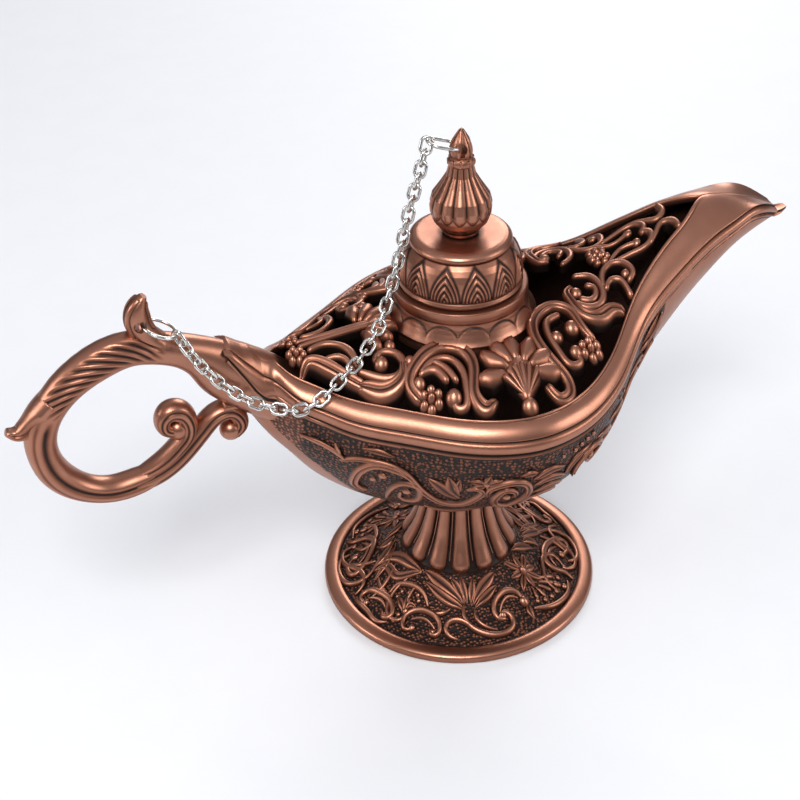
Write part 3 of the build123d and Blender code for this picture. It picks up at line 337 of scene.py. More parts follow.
# Strokes of the pierced cover, drawn on the near half and the same on the far one: x, y and half width of the
# points they run through, in squares of the grid.
scroll_shares = [
    [(-2.73, -1.39, .09), (-2.82, -1.22, .09), (-2.70, -1.10, .09), (-2.47, -1.11, .10), (-2.26, -1.29, .11),
     (-2.21, -1.52, .11), (-2.27, -1.69, .11), (-2.42, -1.80, .11), (-2.62, -1.79, .10), (-2.85, -1.69, .10),
     (-3.10, -1.49, .10), (-3.28, -1.34, .08)],
    [(-2.24, -1.62, .10), (-2.36, -1.90, .16), (-2.66, -2.02, .20), (-2.97, -1.96, .20), (-3.22, -1.78, .17),
     (-3.38, -1.66, .10)],
    [(-0.52, -3.33, .08), (-0.78, -3.40, .17), (-0.93, -3.08, .16), (-0.85, -2.75, .14), (-0.70, -2.42, .15),
     (-0.66, -2.00, .16), (-0.84, -1.68, .17), (-1.19, -1.51, .17), (-1.59, -1.55, .17), (-1.97, -1.76, .16),
     (-2.20, -1.97, .15), (-2.28, -2.24, .14), (-2.20, -2.48, .14)],
    [(-1.40, -2.88, .09), (-1.44, -3.08, .09), (-1.28, -3.16, .10), (-1.06, -2.86, .11), (-0.97, -2.50, .10),
     (-0.99, -2.12, .10), (-1.18, -1.86, .09), (-1.55, -1.80, .09), (-1.90, -1.98, .08)],
    [(-1.93, -2.02, .08), (-1.60, -2.02, .12), (-1.43, -2.37, .10)],
    [(-1.52, -1.84, .08), (-1.32, -2.10, .10), (-1.20, -2.48, .08)],
    [(0.90, -3.38, .12), (1.10, -3.66, .15), (1.40, -3.54, .15), (1.48, -3.22, .14), (1.38, -2.89, .14),
     (1.24, -2.47, .14), (1.18, -1.98, .15), (1.29, -1.58, .16), (1.62, -1.24, .16), (2.06, -1.12, .15),
     (2.37, -1.33, .14), (2.47, -1.76, .12), (2.54, -2.12, .11), (2.62, -2.30, .10)],
    [(2.02, -2.55, .09), (2.06, -2.80, .09), (1.80, -2.86, .10), (1.62, -2.48, .10), (1.57, -1.98, .10),
     (1.74, -1.52, .10), (2.06, -1.42, .09)],
    [(3.74, -1.78, .10), (3.50, -1.70, .16), (3.16, -1.80, .19), (2.83, -1.72, .17), (2.64, -1.47, .15),
     (2.58, -1.12, .12), (2.62, -0.82, .10), (2.80, -0.70, .08)],
    [(2.72, -1.25, .10), (2.96, -1.44, .10), (3.27, -1.44, .10), (3.49, -1.20, .10), (3.52, -0.84, .10),
     (3.39, -0.50, .09), (3.10, -0.34, .08)],
    [(2.90, -1.16, .09), (3.10, -1.26, .09), (3.32, -1.12, .09), (3.34, -0.92, .08), (3.22, -0.80, .08)],
    [(3.58, -1.00, .08), (3.74, -0.64, .09), (3.98, -0.46, .09), (4.26, -0.50, .09), (4.42, -0.74, .09),
     (4.42, -1.02, .09), (4.28, -1.12, .08)],
    [(3.64, -1.08, .08), (3.85, -0.92, .08), (4.03, -0.98, .08), (4.12, -1.22, .08), (4.14, -1.47, .09)],
    [(4.30, -0.46, .08), (4.70, -0.50, .08), (5.05, -0.52, .09), (5.27, -0.40, .09), (5.34, -0.16, .09),
     (5.22, 0.02, .09)],
    [(5.20, -0.50, .08), (5.46, -0.30, .08), (5.72, -0.12, .10), (5.92, -0.24, .10), (5.96, -0.56, .08)],
    [(4.04, -0.44, .07), (4.50, -0.16, .07), (4.92, -0.25, .08)],
    [(-4.62, -0.78, .07), (-4.34, -0.62, .13), (-4.06, -0.80, .17), (-3.72, -1.20, .15), (-3.36, -1.62, .12)],
    [(-4.20, -0.30, .08), (-3.86, -0.26, .09), (-3.50, -0.44, .09), (-3.30, -0.74, .10), (-3.28, -1.12, .10)],
    [(-3.96, -0.72, .07), (-3.62, -0.78, .08), (-3.44, -1.02, .08), (-3.42, -1.34, .08)],
    [(-4.40, -0.10, .07), (-3.40, -0.06, .09), (-2.36, -0.04, .12)],
]
# Bosses of the cover's halves: x, y and radius, in squares of the grid.
boss_shares = [
    (-2.73, -1.38, .18), (-2.06, -1.60, .15), (-1.93, -2.66, .30), (-2.08, -2.22, .17), (-1.42, -2.86, .20),
    (0.25, -3.68, .21), (2.24, -1.91, .20), (1.75, -2.06, .16), (2.04, -2.56, .17), (2.46, -2.56, .32),
    (2.84, -0.92, .16), (4.26, -0.92, .12), (4.92, -0.24, .13), (-4.56, -0.30, .26), (-2.35, -0.98, .15),
    (3.94, -0.10, .28),
]
# Shell of each half: where it opens from, how its body is drawn, and its lobes.
shell_centre_shares = (0.36, -2.86)
shell_body_shares = [(0.22, -3.56, .08), (0.32, -3.20, .34), (0.38, -2.92, .50), (0.40, -2.72, .44)]
shell_reach_share = 1.12
shell_lobe_angles = [-8, 22, 52, 82, 108, 134, 172]
# Fan of lobes at the handle's end of the cover
fan_centre_shares = (-2.86, 0.0)
fan_reach_share = 1.06
fan_lobe_angles = [-76, -50, -25, 0, 25, 50, 76]
# Handle: x, z, half thickness and half width of the points its bars run through, in squares of the grid.
# The bars are the loop with its neck, the lower scroll, the volute, the leaf behind, thumb rest and beak.
loop_shares = [
    (-4.95, 7.75, .80, .66), (-5.50, 8.24, .84, .62), (-6.00, 8.64, .82, .59), (-6.40, 8.96, .75, .54),
    (-6.80, 9.34, .58, .46), (-7.35, 9.72, .44, .42), (-8.00, 9.98, .42, .40), (-8.60, 10.10, .44, .42),
    (-9.27, 9.97, .46, .44), (-9.80, 9.72, .44, .44), (-10.20, 9.44, .42, .43), (-10.55, 9.08, .40, .42),
    (-10.82, 8.68, .40, .41), (-10.98, 8.24, .40, .41), (-11.00, 7.70, .39, .40), (-10.86, 7.16, .40, .40),
    (-10.55, 6.68, .39, .39), (-10.08, 6.30, .35, .38), (-9.48, 6.10, .34, .37), (-8.85, 6.14, .34, .37),
    (-8.45, 6.24, .29, .34), (-8.05, 6.46, .20, .28), (-7.75, 6.70, .10, .16),
]
lower_shares = [
    (-9.10, 6.10, .26, .28), (-8.70, 6.16, .30, .33), (-8.30, 6.28, .31, .35), (-7.75, 6.60, .29, .35),
    (-7.30, 7.02, .28, .34), (-6.98, 7.36, .27, .34), (-6.66, 7.62, .26, .33), (-6.34, 7.66, .24, .33),
    (-6.12, 7.44, .22, .32), (-6.08, 7.14, .20, .30), (-6.26, 6.94, .17, .28),
]
volute_shares = [
    (-8.75, 6.34, .14, .24), (-8.40, 6.46, .19, .31), (-8.10, 6.62, .22, .33), (-7.68, 6.98, .22, .34),
    (-7.42, 7.32, .22, .34), (-7.40, 7.68, .24, .34), (-7.58, 7.98, .28, .33), (-7.84, 8.02, .27, .32),
    (-8.02, 7.82, .22, .30), (-7.98, 7.54, .18, .28), (-7.80, 7.42, .15, .26),
]
leaf_shares = [
    (-10.62, 9.20, .26, .40), (-10.98, 8.86, .26, .40), (-11.26, 8.56, .24, .36), (-11.52, 8.46, .18, .28),
    (-11.74, 8.56, .09, .14),
]
thumb_shares = [
    (-7.70, 9.95, .22, .34), (-8.02, 10.26, .30, .33), (-8.24, 10.62, .30, .28), (-8.28, 10.98, .28, .26),
    (-8.20, 11.26, .20, .22), (-8.06, 11.46, .08, .12),
]
beak_shares = [(-6.50, 7.86, .20, .30), (-6.18, 7.78, .16, .24), (-5.86, 7.46, .05, .08)]


# Sizes that the boat's and the crown's shares stand for
tail_length, prow_length, half_width = 53.4, 69.5, 39.2
waist_height, tail_rise, prow_rise, crown_rise = 81.9, 9.6, 25.6, 11.1
keel_height, keel_rise = 37, 44.9
band_width, band_drop, bead_height = 4.5, 3.4, 4


def station(row):
    """x, half width, height, keel, outer half width, outer edge and bead height, in millimetres."""
    reach, width, rise, keel, band, drop, bead = row
    x = reach * (tail_length if reach < 0 else prow_length)
    z = waist_height + rise * (tail_rise if reach < 0 else prow_rise)
    return (x, width * half_width, z, keel_height + keel * keel_rise, width * half_width + band * band_width,
            z - drop * band_drop, bead * bead_height)


# The boat: its rows are spaced along x, and everything on it is read from them
boat_rows = np.array([station(row) for row in boat_shares])
boat_x = boat_rows[:, 0]
open_x = [row[0] for row in boat_rows if row[1] > 0]


def boat(x):
    """Half width, height, keel, outer half width, outer edge and seam of the boat at each x."""
    values = spline(boat_x, boat_rows[:, 1:], np.clip(np.ravel(x), boat_x[0], boat_x[-1]))
    w, z, keel, out, edge, bead = values.T
    return [v.reshape(np.shape(x)) for v in (np.maximum(w, 0), z, keel, out, edge, edge - bead)]


def bowl_place(side):
    """Places on the bowl's outside, from x, height and lift."""
    def place(x, z, lift):
        _, _, keel, out, _, seam = boat(x)
        depth, half = seam - keel, out - 0.55
        drop = np.clip((seam - z) / depth, 0.0, 0.999)
        y = half * np.sqrt(1 - drop ** 2)
        ny, nz = y / half ** 2, -drop / depth
        size = np.sqrt(ny ** 2 + nz ** 2)
        return np.stack([x + 0 * y, side * (y + lift * ny / size), z + lift * nz / size], axis=-1)
    return place


def dome_height(x, y):
    """Height of the cover's top, an arc across the opening at each x."""
    w, z = boat(x)[:2]
    w, edge = np.maximum(w - 0.2, 1.0), z - 0.8
    crown = waist_height + crown_rise * np.interp(x, open_x, crown_shares)
    rise = np.maximum(crown - edge, 0.05)
    radius = (w ** 2 + rise ** 2) / (2 * rise)
    return crown - radius + np.sqrt(np.maximum(radius ** 2 - np.minimum(np.abs(y), w) ** 2, 0))


def cover_place(side):
    """Places on the cover's top, from x, distance from the middle and lift; low under the collar's seat."""
    def place(x, y, lift):
        z = dome_height(x, y) + lift
        under_seat = np.hypot(x, y) < 19.0
        return np.stack([x, side * y, np.where(under_seat, np.minimum(z, 90.3), z)], axis=-1)
    return place


def spout_tip(x):
    """0 before the spout's tip and 1 at its end."""
    return np.clip((x - 92.1) / 4.4, 0, 1) ** 1.7


# Bowl: a smooth skin with a plain keel and prow, a thin bead under the seam, and a pimpled field
def bowl_skin():
    piece = Piece()
    tail_end = 2.5
    x = np.concatenate([boat_x[0] - np.linspace(tail_end, 0.1, 8), np.linspace(boat_x[0], 92.0, 230),
                        np.linspace(92.3, 96.3, 12)])
    turn = np.concatenate([np.linspace(0, 10, 12)[:-1], np.linspace(10, 170, 90),
                           np.linspace(170, 180, 12)[1:]]) * pi / 180
    xs, turns = np.meshgrid(x, turn, indexing="ij")
    _, _, keel, out, _, seam = boat(xs)
    drop, across = np.sin(turns), np.cos(turns)
    tip = spout_tip(xs)
    half = (out - 0.55) * (1 - tip) + 0.9 * tip
    low = (seam - (seam - keel) * 1.004) * (1 - tip) + (keel_height + 1.345 * keel_rise) * tip
    high = seam * (1 - tip) + (keel_height + 1.372 * keel_rise) * tip
    z = high - (high - low) * drop
    below = high - z
    bead = 0.75 * np.exp(-((below - 1.15) / 0.42) ** 2) * (1 - tip)
    close = np.sqrt(1 - np.clip((boat_x[0] - xs) / tail_end, 0, 1) ** 2)
    y = half * across * close
    z = high - (high - z) * close
    y += np.sign(across) * bead * close
    # Wear: the field, the dark lines under the bead, at the seam and round the field, and the plain tail
    field = field_mask(xs, z)
    worn = np.where(field > 0.5, 0.62, 0.90)
    worn = np.where((below > 1.6) & (below < 2.3), 0.1, worn)
    worn = np.where(below < 0.65, 0.03, worn)
    worn = np.where((field > 0.05) & (field < 0.5), 0.15, worn)
    worn = np.where(xs < -48.0, 0.9, worn)
    piece.sheet(np.stack([xs, y, z], axis=-1), worn, (field > 0.5).astype(float), flip=True)
    end = np.linspace(91.0, 96.45, 14)[:, None]
    out, _, seam = boat(end)[3:]
    tip = spout_tip(end)
    share = np.linspace(-1, 1, 13)[None, :]
    wide, high = (out - 0.5) * (1 - tip) + 0.95 * tip, seam * (1 - tip) + 98.62 * tip
    channel = high + 0.12 - 0.25 * (1 - share ** 2) * (1 - tip)
    piece.sheet(np.stack([end + 0 * share, wide * share, channel], axis=-1))
    piece.make("bowl_skin", "lamp")


def field_mask(x, z):
    """1 on the bowl's pimpled panel, 0 on the plain strips along its keel and prow."""
    inside = np.minimum(x - field_tail(z), field_prow(z) - x)
    under = boat(x)[5] - 1.9 - z
    return np.clip(np.minimum(inside, under) * 2.0, 0, 1)


def field_tail(z):
    """x of the field's edge towards the handle, at a height."""
    return np.interp(z, [37, 45, 48.3, 52.6, 58, 64.8, 70.4, 74.7, 84],
                     [-14, -26, -32.8, -36.9, -42, -48.6, -53.1, -55.0, -55.5])


def field_prow(z):
    """x of the field's edge towards the spout, at a height."""
    return np.interp(z, [37, 44, 52, 60, 68, 76, 84, 92, 100], [16, 29, 38, 44.5, 48, 50, 51.2, 51.6, 52])


# Rim: a thin raised lip, the wide polished band, a groove and the bead under it, on each side
def rim_side(piece, side):
    x = np.concatenate([np.linspace(-64.0, -49.6, 60), np.linspace(-49.3, boat_x[-1], 240)])
    w, z, _, out, edge, seam = boat(x)
    slant = np.hypot(out - w, z - edge)
    ny, nz = (z - edge) / slant, (out - w) / slant
    lip = np.clip(w / 3, 0, 1)
    rows = []

    def add(y, height, wear):
        rows.append((y, height, wear + 0 * x))

    add(w + 0.05, z - 1.9, 0.1)
    add(w, z - 0.9, 0.5)
    add(w + 0.02, z - 0.1, 0.9)
    for share, lift, wear in ((0.03, 0.34, 1.0), (0.07, 0.42, 1.05), (0.11, 0.30, 0.9), (0.14, 0.10, 0.25)):
        fall = share * lip + share ** 1.8 * (1 - lip)
        add(w + (out - w) * share + ny * lift * lip, z + (edge - z) * fall + nz * lift * lip,
            1 - (1 - wear) * lip)
    for share in np.linspace(0.17, 0.97, 15):
        bulge = 0.75 * 4 * share * (1 - share) * lip
        fall = share * lip + share ** 1.8 * (1 - lip)
        add(w + (out - w) * share + ny * bulge, z + (edge - z) * fall + nz * bulge,
            1.02 - 0.1 * abs(share - 0.5))
    add(out, edge - 0.02, 0.8)
    add(out - 0.25, edge - 0.28, 0.2)
    add(out - 0.52, edge - 0.46, 0.02)
    add(out - 0.45, edge - 0.70, 0.1)
    tall = edge - 0.6 - seam
    for share in np.linspace(0.04, 0.96, 9):
        bulge = -0.42 + 1.30 * sqrt(4 * share * (1 - share))
        add(out + bulge, edge - 0.6 - tall * share, 0.98 - 0.3 * abs(share - 0.45))
    add(out - 0.55, seam + 0.05, 0.02)
    add(out - 2.0, seam + 0.05, 0.02)
    y, height, wear = [np.stack(column, axis=1) for column in zip(*rows)]
    points = np.stack([x[:, None] + 0 * y, side * y, height], axis=-1)
    wear[x < -50.5, :4] = 1.0
    piece.sheet(lapped(points, side), wear, flip=side > 0)
    lap_edge(piece, side)


def neck_section(x):
    """Centre height, half width and half height of the handle's neck cut upright at x."""
    at = [-66, -64, -60, -55, -49.5]
    columns = [91.2, 89.6, 86.4, 82.4, 77.5], [5.1, 5.4, 5.9, 6.2, 6.6], [9.2, 9.4, 10.0, 10.3, 10.2]
    return [np.interp(x, at, values) for values in columns]


def neck_side(x, z):
    """Half width of the neck at a height."""
    middle, wide, tall = neck_section(x)
    return wide * np.sqrt(np.clip(1 - ((z - middle) / tall) ** 2, 0, 1))


def lap_low(x):
    """Height of the rim's slanting lower edge on the neck."""
    return np.interp(x, [-64, -63.3, -62.1, -59.6, -57.2, -54.9, -52, -49.4],
                     [95.9, 95.2, 93.2, 89.0, 84.6, 81.2, 79.9, 80.4])


def lapped(points, side):
    """Past the opening the rim closes over the handle's neck, and ends there on a slanting edge."""
    x = points[:, 0, 0]
    top = np.interp(x, [-64, -63, -62, -60.6, -59, -57, -53.4, -49.4],
                    [96.5, 97.1, 97.3, 96.4, 95.3, 94.2, 91.7, 87.9])
    low = lap_low(x)
    grow = eased((-50.5 - x) / 4.0)
    reach = (neck_side(x, low) + 0.6) * grow + (boat(x)[3] - 0.2) * (1 - grow)
    # Where the band ends, as a share of the quarter turn from the top down to the edge
    split = np.interp(x, [-64, -60, -55, -50], [0.40, 0.52, 0.60, 0.68])
    rounds = [(share * split, 0.0) for share in [0, 0, 0, *np.linspace(0.03, 1, 20)]]
    rounds += [(split, deep) for deep in (-0.25, -0.5, -0.3)]
    rounds += [(split + (1 - split) * share, -0.35 + 0.60 * sqrt(4 * share * (1 - share)))
               for share in np.linspace(0.04, 0.96, 9)]
    rounds += [(1, -0.5), (1, -2.0)]
    shrink = np.clip((top - low) / 6.0, 0.1, 1)
    folded = points.copy()
    for k, (turn, deep) in enumerate(rounds):
        a = turn * pi / 2
        folded[:, k, 1] = side * np.maximum(reach * np.sin(a) + deep * np.sin(a) * shrink, 0)
        folded[:, k, 2] = low + (top - low) * np.cos(a) + deep * np.cos(a) * shrink
    share = eased((-48.0 - x) / 9.0)[:, None, None]
    return points * (1 - share) + folded * share


def lap_edge(piece, side):
    """The dark line along the lap, and the neck's fine raised edge beside it."""
    x = np.linspace(-62.9, -52.5, 60)
    z = lap_low(x)
    dx, dz = np.gradient(x), np.gradient(z)
    size = np.hypot(dx, dz)
    rows, worn = [], []
    for off, lift, wear in ((-0.4, 0.1, 0.0), (0.15, 0.12, 0.0), (0.35, 0.15, 0.05), (0.5, 0.24, 1.0),
                            (0.75, 0.25, 1.05), (1.0, 0.05, 0.8)):
        px, pz = x + off * dz / size, z - off * dx / size
        rows.append(np.stack([px, side * (neck_side(px, pz) + lift), pz], axis=-1))
        worn.append(wear + 0 * x)
    piece.sheet(np.stack(rows, axis=1), np.stack(worn, axis=1), flip=side < 0)


rim_piece = Piece()
rim_side(rim_piece, 1)
rim_side(rim_piece, -1)
rim_piece.make("rim_band", "lamp", replaces=("rim",))
bowl_skin()


# Cover: every stroke, boss and shell is a rounded casting on the domed line
def fan(piece, place, cx, cy, reach, angles, half):
    """Lobes that open from one point, in squares of the grid."""
    lobe = ((0.34, half * 0.45), (reach * 0.5, half * 0.78), (reach * 0.74, half * 1.02),
            (reach - half * 0.8, half * 0.8))
    for angle in angles:
        dx, dy = cos(radians(angle)), sin(radians(angle))
        row = [(grid * (cx + dx * t), grid * (cy + dy * t), grid * h) for t, h in lobe]
        stroke(piece, row, place, 2.3, sink=1.9)


cover_piece = Piece()
for side in (1, -1):
    place = cover_place(side)
    for row in scroll_shares:
        points = [(x * grid, y * grid, half * bold) for x, y, half in row]
        wide = max(half for x, y, half in row) > 0.13
        height, back = (1.9, two_ridges) if wide else (1.25, round_back)
        stroke(cover_piece, points, place, height, sink=2.0, back=back)
    for x, y, radius in boss_shares:
        if radius > 0.25:
            flower(cover_piece, x * grid, y * grid, radius * full, place, turn=x)
        else:
            ball(cover_piece, x * grid, y * grid, radius * bold, place, radius * full, sink=2.0)
    fan(cover_piece, place, *shell_centre_shares, shell_reach_share, shell_lobe_angles, 0.235)
    body = [(x * grid, y * grid, half * grid) for x, y, half in shell_body_shares]
    stroke(cover_piece, body, place, 2.0, sink=1.9)

    def on_body(x, y, lift):
        return place(x, y, lift + 1.25)

    for tilt in (-44, -26, -9, 9, 26, 44):
        a = radians(91 + tilt)
        rib = [(2.6 + 0.6 * cos(a), -34.6, 0.25), (3.2 + 3.6 * cos(a), -34.2 + 3.4 * sin(a), 0.62),
               (3.7 + 6.2 * cos(a), -34.2 + 7.0 * sin(a), 0.92)]
        stroke(cover_piece, rib, on_body, 1.3, sink=0.9)
    fan(cover_piece, place, *fan_centre_shares, fan_reach_share, fan_lobe_angles, 0.2)
turn = round_angles(120)
seat = [(18.9, 87.6), (19.0, 90.0), (18.6, 90.35), (15.6, 90.35), (15.6, 87.6)]
seat_points = [np.stack([r * np.cos(turn), r * np.sin(turn), z + 0 * turn], axis=-1) for r, z in seat]
cover_piece.sheet(np.stack(seat_points), 0.4, closed=True)
cover_piece.make("cover_scrollwork", "lamp", replaces=("cover",))


# Foot: turned, hollow below, with the ornament raised on its pimpled field
def tapered(points, half, tail=0.45):
    """Adds the half widths to a drawn line, thin at both ends and fullest in the middle."""
    last = len(points) - 1
    return [(x, y, half * (tail + (1 - tail) * sin(pi * i / last) ** 0.6)) for i, (x, y) in enumerate(points)]


def field_height(r):
    """Height of the foot's hollow slope at a radius."""
    share = np.clip((r - 16.5) / 18.3, 0, 1)
    return 12 - 10.3 * share - 0.82 * 4 * share * (1 - share)


def foot_section(turn, t):
    """From the bolt's hole over the top and the lip, back under the foot: radius, height, wear and grain."""
    outline = [(2.3, 8.0, 0.2, 0), (2.3, 12.0, 0.3, 0), (16.4, 12.0, 0.3, 0)]
    outline += [(r, float(field_height(r)), 0.66, 1) for r in np.linspace(16.6, 34.2, 34)]
    outline += [(34.6, 1.75, 0.05, 0), (34.8, 1.9, 0.03, 0), (34.95, 2.35, 0.6, 0), (35.3, 2.62, 1.0, 0),
                (36.2, 2.74, 0.95, 0), (37.6, 2.48, 0.92, 0), (38.35, 2.26, 1.0, 0), (38.8, 1.85, 1.1, 0),
                (38.97, 1.3, 0.85, 0), (38.97, 0.35, 0.75, 0), (38.6, 0.0, 0.4, 0), (33.4, 0.0, 0.3, 0),
                (31.0, 0.6, 0.2, 0), (24.0, 3.4, 0.2, 0), (17.0, 7.9, 0.2, 0), (7.7, 8.0, 0.2, 0),
                (7.5, 0.3, 0.3, 0), (5.9, 0.3, 0.3, 0), (5.8, 3.8, 0.2, 0), (2.3, 3.8, 0.2, 0),
                (2.3, 8.0, 0.2, 0)]
    return along(outline, t)


def foot_place(x, y, lift):
    return np.stack([x, y, field_height(np.hypot(x, y)) + lift], axis=-1)


foot_piece = Piece()
turned(foot_piece, foot_section, 58, 200)
# Strokes of half the foot, turned round for the other half: half width, and the x and y that they run through
foot_lines = [
    (0.62, [(-20.5, 24), (-18.6, 21), (-19.3, 16), (-21.6, 12.4), (-24.8, 12), (-26.3, 15)]),
    (0.70, [(-26.5, 16.5), (-29.4, 16), (-31.2, 13), (-30.8, 9), (-29.1, 5.5), (-28.8, 1.5), (-30.4, -1),
            (-32.6, -1.9)]),
    (0.65, [(-24.2, 4.5), (-28, 6.8), (-30.2, 10.2)]),
    (0.62, [(-24.6, -8.3), (-22.6, -7.7), (-20.4, -9), (-18.2, -11.6), (-16.9, -14.8), (-17.2, -18)]),
    (0.80, [(-31.5, -6.8), (-31.9, -4), (-29.6, -3.5), (-27.2, -6.2), (-25.7, -10), (-26, -13.3),
            (-27.6, -14.9), (-29.2, -13.6), (-28.7, -12.3)]),
    (0.42, [(-30.2, -5.6), (-28.4, -7.4), (-27.3, -10.3), (-27.5, -12.6)]),
    (0.50, [(-25.5, -1.6), (-26.2, -4.1), (-25.8, -7), (-25.2, -9.3)]),
    (0.74, [(-23.2, -21.4), (-25.2, -20.4), (-24.9, -18.2), (-22.8, -17), (-20, -17.6), (-17.6, -19.7),
            (-16.2, -22.3), (-16.5, -24.8), (-18.1, -26.3), (-19.4, -25.2), (-19.1, -23.9)]),
    (0.42, [(-22.4, -18.9), (-20.2, -19.9), (-18.4, -22.3), (-17.9, -24.4)]),
    (0.50, [(-18.3, -19.2), (-15.9, -21.1), (-13.6, -21.9), (-12.2, -21.6)]),
    (0.80, [(-8.2, -22.4), (-9.2, -24.8), (-8.8, -27.4), (-6.6, -30.2), (-3.2, -32.2), (0.5, -32.5),
            (3.2, -30.8), (3.2, -28.5), (1.6, -27.3), (0.2, -28.2)]),
    (0.76, [(8.7, -26), (7.9, -23.4), (5, -22.3), (1.4, -23.5), (-0.6, -25.9), (-0.3, -28.6), (1.6, -29)]),
    (0.42, [(7.4, -24.5), (4.8, -23.8), (2.2, -25.1), (0.9, -26.9)]),
    (0.72, [(-13.4, -29.6), (-15.1, -27.7), (-15, -25.5), (-13, -24.6), (-10.3, -25.7), (-8.3, -28),
            (-6, -30.4)]),
    (0.50, [(-5.7, -24.2), (-6.2, -26.6), (-4.6, -29.4), (-2, -31)]),
    (0.74, [(25, -20.8), (23.4, -24.4), (20, -27), (15.7, -28.3), (11.2, -28)]),
    (0.84, [(27.1, -20), (25.6, -17.9), (22.7, -16.6), (21.2, -14), (22.6, -10.2), (27, -6), (30.9, -5),
            (31.5, -8), (28.6, -11)]),
    (0.76, [(24.2, -2.9), (29.3, -0.9), (33, -2.7), (34, -6.7), (33.3, -10.6), (31.2, -13.4), (29, -13.6)]),
    (0.48, [(24, -15.4), (23.3, -13), (24.8, -9.8), (27.8, -8)]),
    (0.66, [(33.6, 3.7), (33, 5.9), (32, 10), (31, 14.2), (28.8, 15.6)]),
    (0.60, [(20.2, 1.6), (25.7, 5.4), (29.6, 6.2)]),
    (0.55, [(18.8, 8), (22.8, 8.6), (26.4, 11), (27.6, 14.6), (25.6, 17.2), (22.9, 16.2)]),
    (0.50, [(17.6, 11.6), (20.4, 12.6), (22.2, 15)]),
]
foot_leaves = [
    (0.95, [(-24.1, 2.5), (-20.8, 1.9), (-18.6, -0.6), (-17, -4.9), (-15.4, -8.9)]),
    (0.80, [(-25.6, 1.6), (-22.4, -0.2), (-21.6, -4.8), (-18.6, -7.4), (-15.3, -9.1)]),
    (0.85, [(-8.5, -23.3), (-10.9, -20.5), (-13.4, -16.6), (-15.3, -12.3)]),
    (1.05, [(-8.4, -21.6), (-10.4, -17.2), (-12.6, -13.3), (-14.3, -9.7)]),
    (0.80, [(-7.9, -21.8), (-8.1, -18.6), (-8.9, -15.2)]),
    (0.72, [(-7.1, -22.1), (-6.8, -19), (-6.3, -15.8)]),
    (0.72, [(-6.1, -22.5), (-4.8, -20.2), (-3.2, -17)]),
    (1.00, [(-5.4, -22.9), (-1.9, -20.2), (0.9, -18.7), (3.2, -17.5)]),
    (0.80, [(-5.1, -23.8), (-1.4, -22.4), (2.6, -20.5)]),
    (0.66, [(-23.5, -11.2), (-23.3, -13.2), (-23.7, -15.5)]),
    (0.60, [(-20.6, -12.2), (-21.9, -14), (-23.4, -15.7)]),
    (0.55, [(-20.2, -16.6), (-21.6, -15.1), (-23.3, -15.9)]),
    (0.70, [(26.7, 1.5), (22.6, -0.6), (17.8, -4.2)]),
    (0.80, [(25.8, -2.3), (21.6, -3.9), (17.2, -6.4)]),
    (0.80, [(21.4, -8.5), (19.5, -7.4), (16.6, -8.4)]),
    (0.75, [(11.3, -11.7), (14.9, -10.5), (18.9, -10)]),
    (0.70, [(9.4, -26.7), (9.3, -28.6), (9.6, -30.6)]),
]
foot_balls = [(-23.2, 22.5, 0.95), (-20.9, 21.6, 0.95), (-26.4, 16, 0.85), (-21.8, -10.3, 0.55),
              (-20.2, -11.9, 0.55), (-23.4, -10.7, 0.5), (-18.5, -14, 0.6), (-18.9, -15.5, 0.6),
              (-25.1, -15.6, 0.65), (-26.8, -16.4, 0.75), (-28.7, -13.5, 0.95), (-23.4, -21.1, 1.0),
              (-18.8, -24.9, 0.85), (8.8, -25.8, 1.5), (1.3, -28.0, 1.05), (27.9, -11.2, 1.15),
              (-31.4, -6.6, 1.0), (23.1, 15.9, 0.9)]
flower_x, flower_y = 12.3, -17.7
fan_dots = [(22.5, -19.5), (21.7, -21.8), (20, -23.8), (17.9, -25.2), (15.4, -26), (12.9, -26.1)]
fan_bars = [(16.2, -19.7, 20.5, -19.2), (16, -20.8, 19.8, -21.1), (15.3, -21.8, 18, -23.2),
            (14.2, -22.4, 15.6, -24.7), (13, -22.7, 13.2, -25)]
for half_turn in (1, -1):
    def place(x, y, lift):
        return foot_place(half_turn * x, half_turn * y, lift)

    for half, points in foot_lines:
        stroke(foot_piece, tapered(points, half * 1.12), place, 1.15, step=0.6)
    for half, points in foot_leaves:
        stroke(foot_piece, tapered(points, half * 1.55, 0.2), place, 1.3, back=leaf_back, step=0.6)
    for x, y, radius in foot_balls:
        ball(foot_piece, x, y, radius, place)
    for x, y in fan_dots:
        ball(foot_piece, x, y, 0.72, place)
    for x, y, end_x, end_y in fan_bars:
        bar = [(x, y, 0.3), ((x + end_x) / 2, (y + end_y) / 2, 0.5), (end_x, end_y, 0.6)]
        stroke(foot_piece, bar, place, 0.8, step=0.6)
    for i in range(8):
        a = radians(200 + i * 45)
        reach = 5.6 if i % 2 else 4.6
        petal = [(flower_x + d * reach * cos(a), flower_y + d * reach * sin(a), h) for d, h in
                 ((0.15, 0.35), (0.55, 0.95), (0.95, 0.35))]
        stroke(foot_piece, petal, place, 1.0, back=leaf_back, step=0.6)
    ball(foot_piece, flower_x, flower_y, 1.25, place, 1.7)
foot_piece.make("foot_ornate", "lamp", replaces=("foot",))


# Stem: a dark core and fourteen rounded ribs with thin lines between them
def stem_radius(z):
    return np.interp(z, [13.3, 14.6, 18, 21, 26, 30, 34, 38.1], [15.2, 14.6, 12.6, 11.3, 9.8, 9.1, 8.95, 9.4])


def stem_core(turn, t):
    z = 11.9 + t * 26.2
    radius = np.interp(z, [11.9, 13.3, 38.1], [15.9, 15.0, 9.4])
    radius = np.where(z > 13.3, stem_radius(z), radius)
    return radius, z, 0.12 + 0 * z, 0 * z


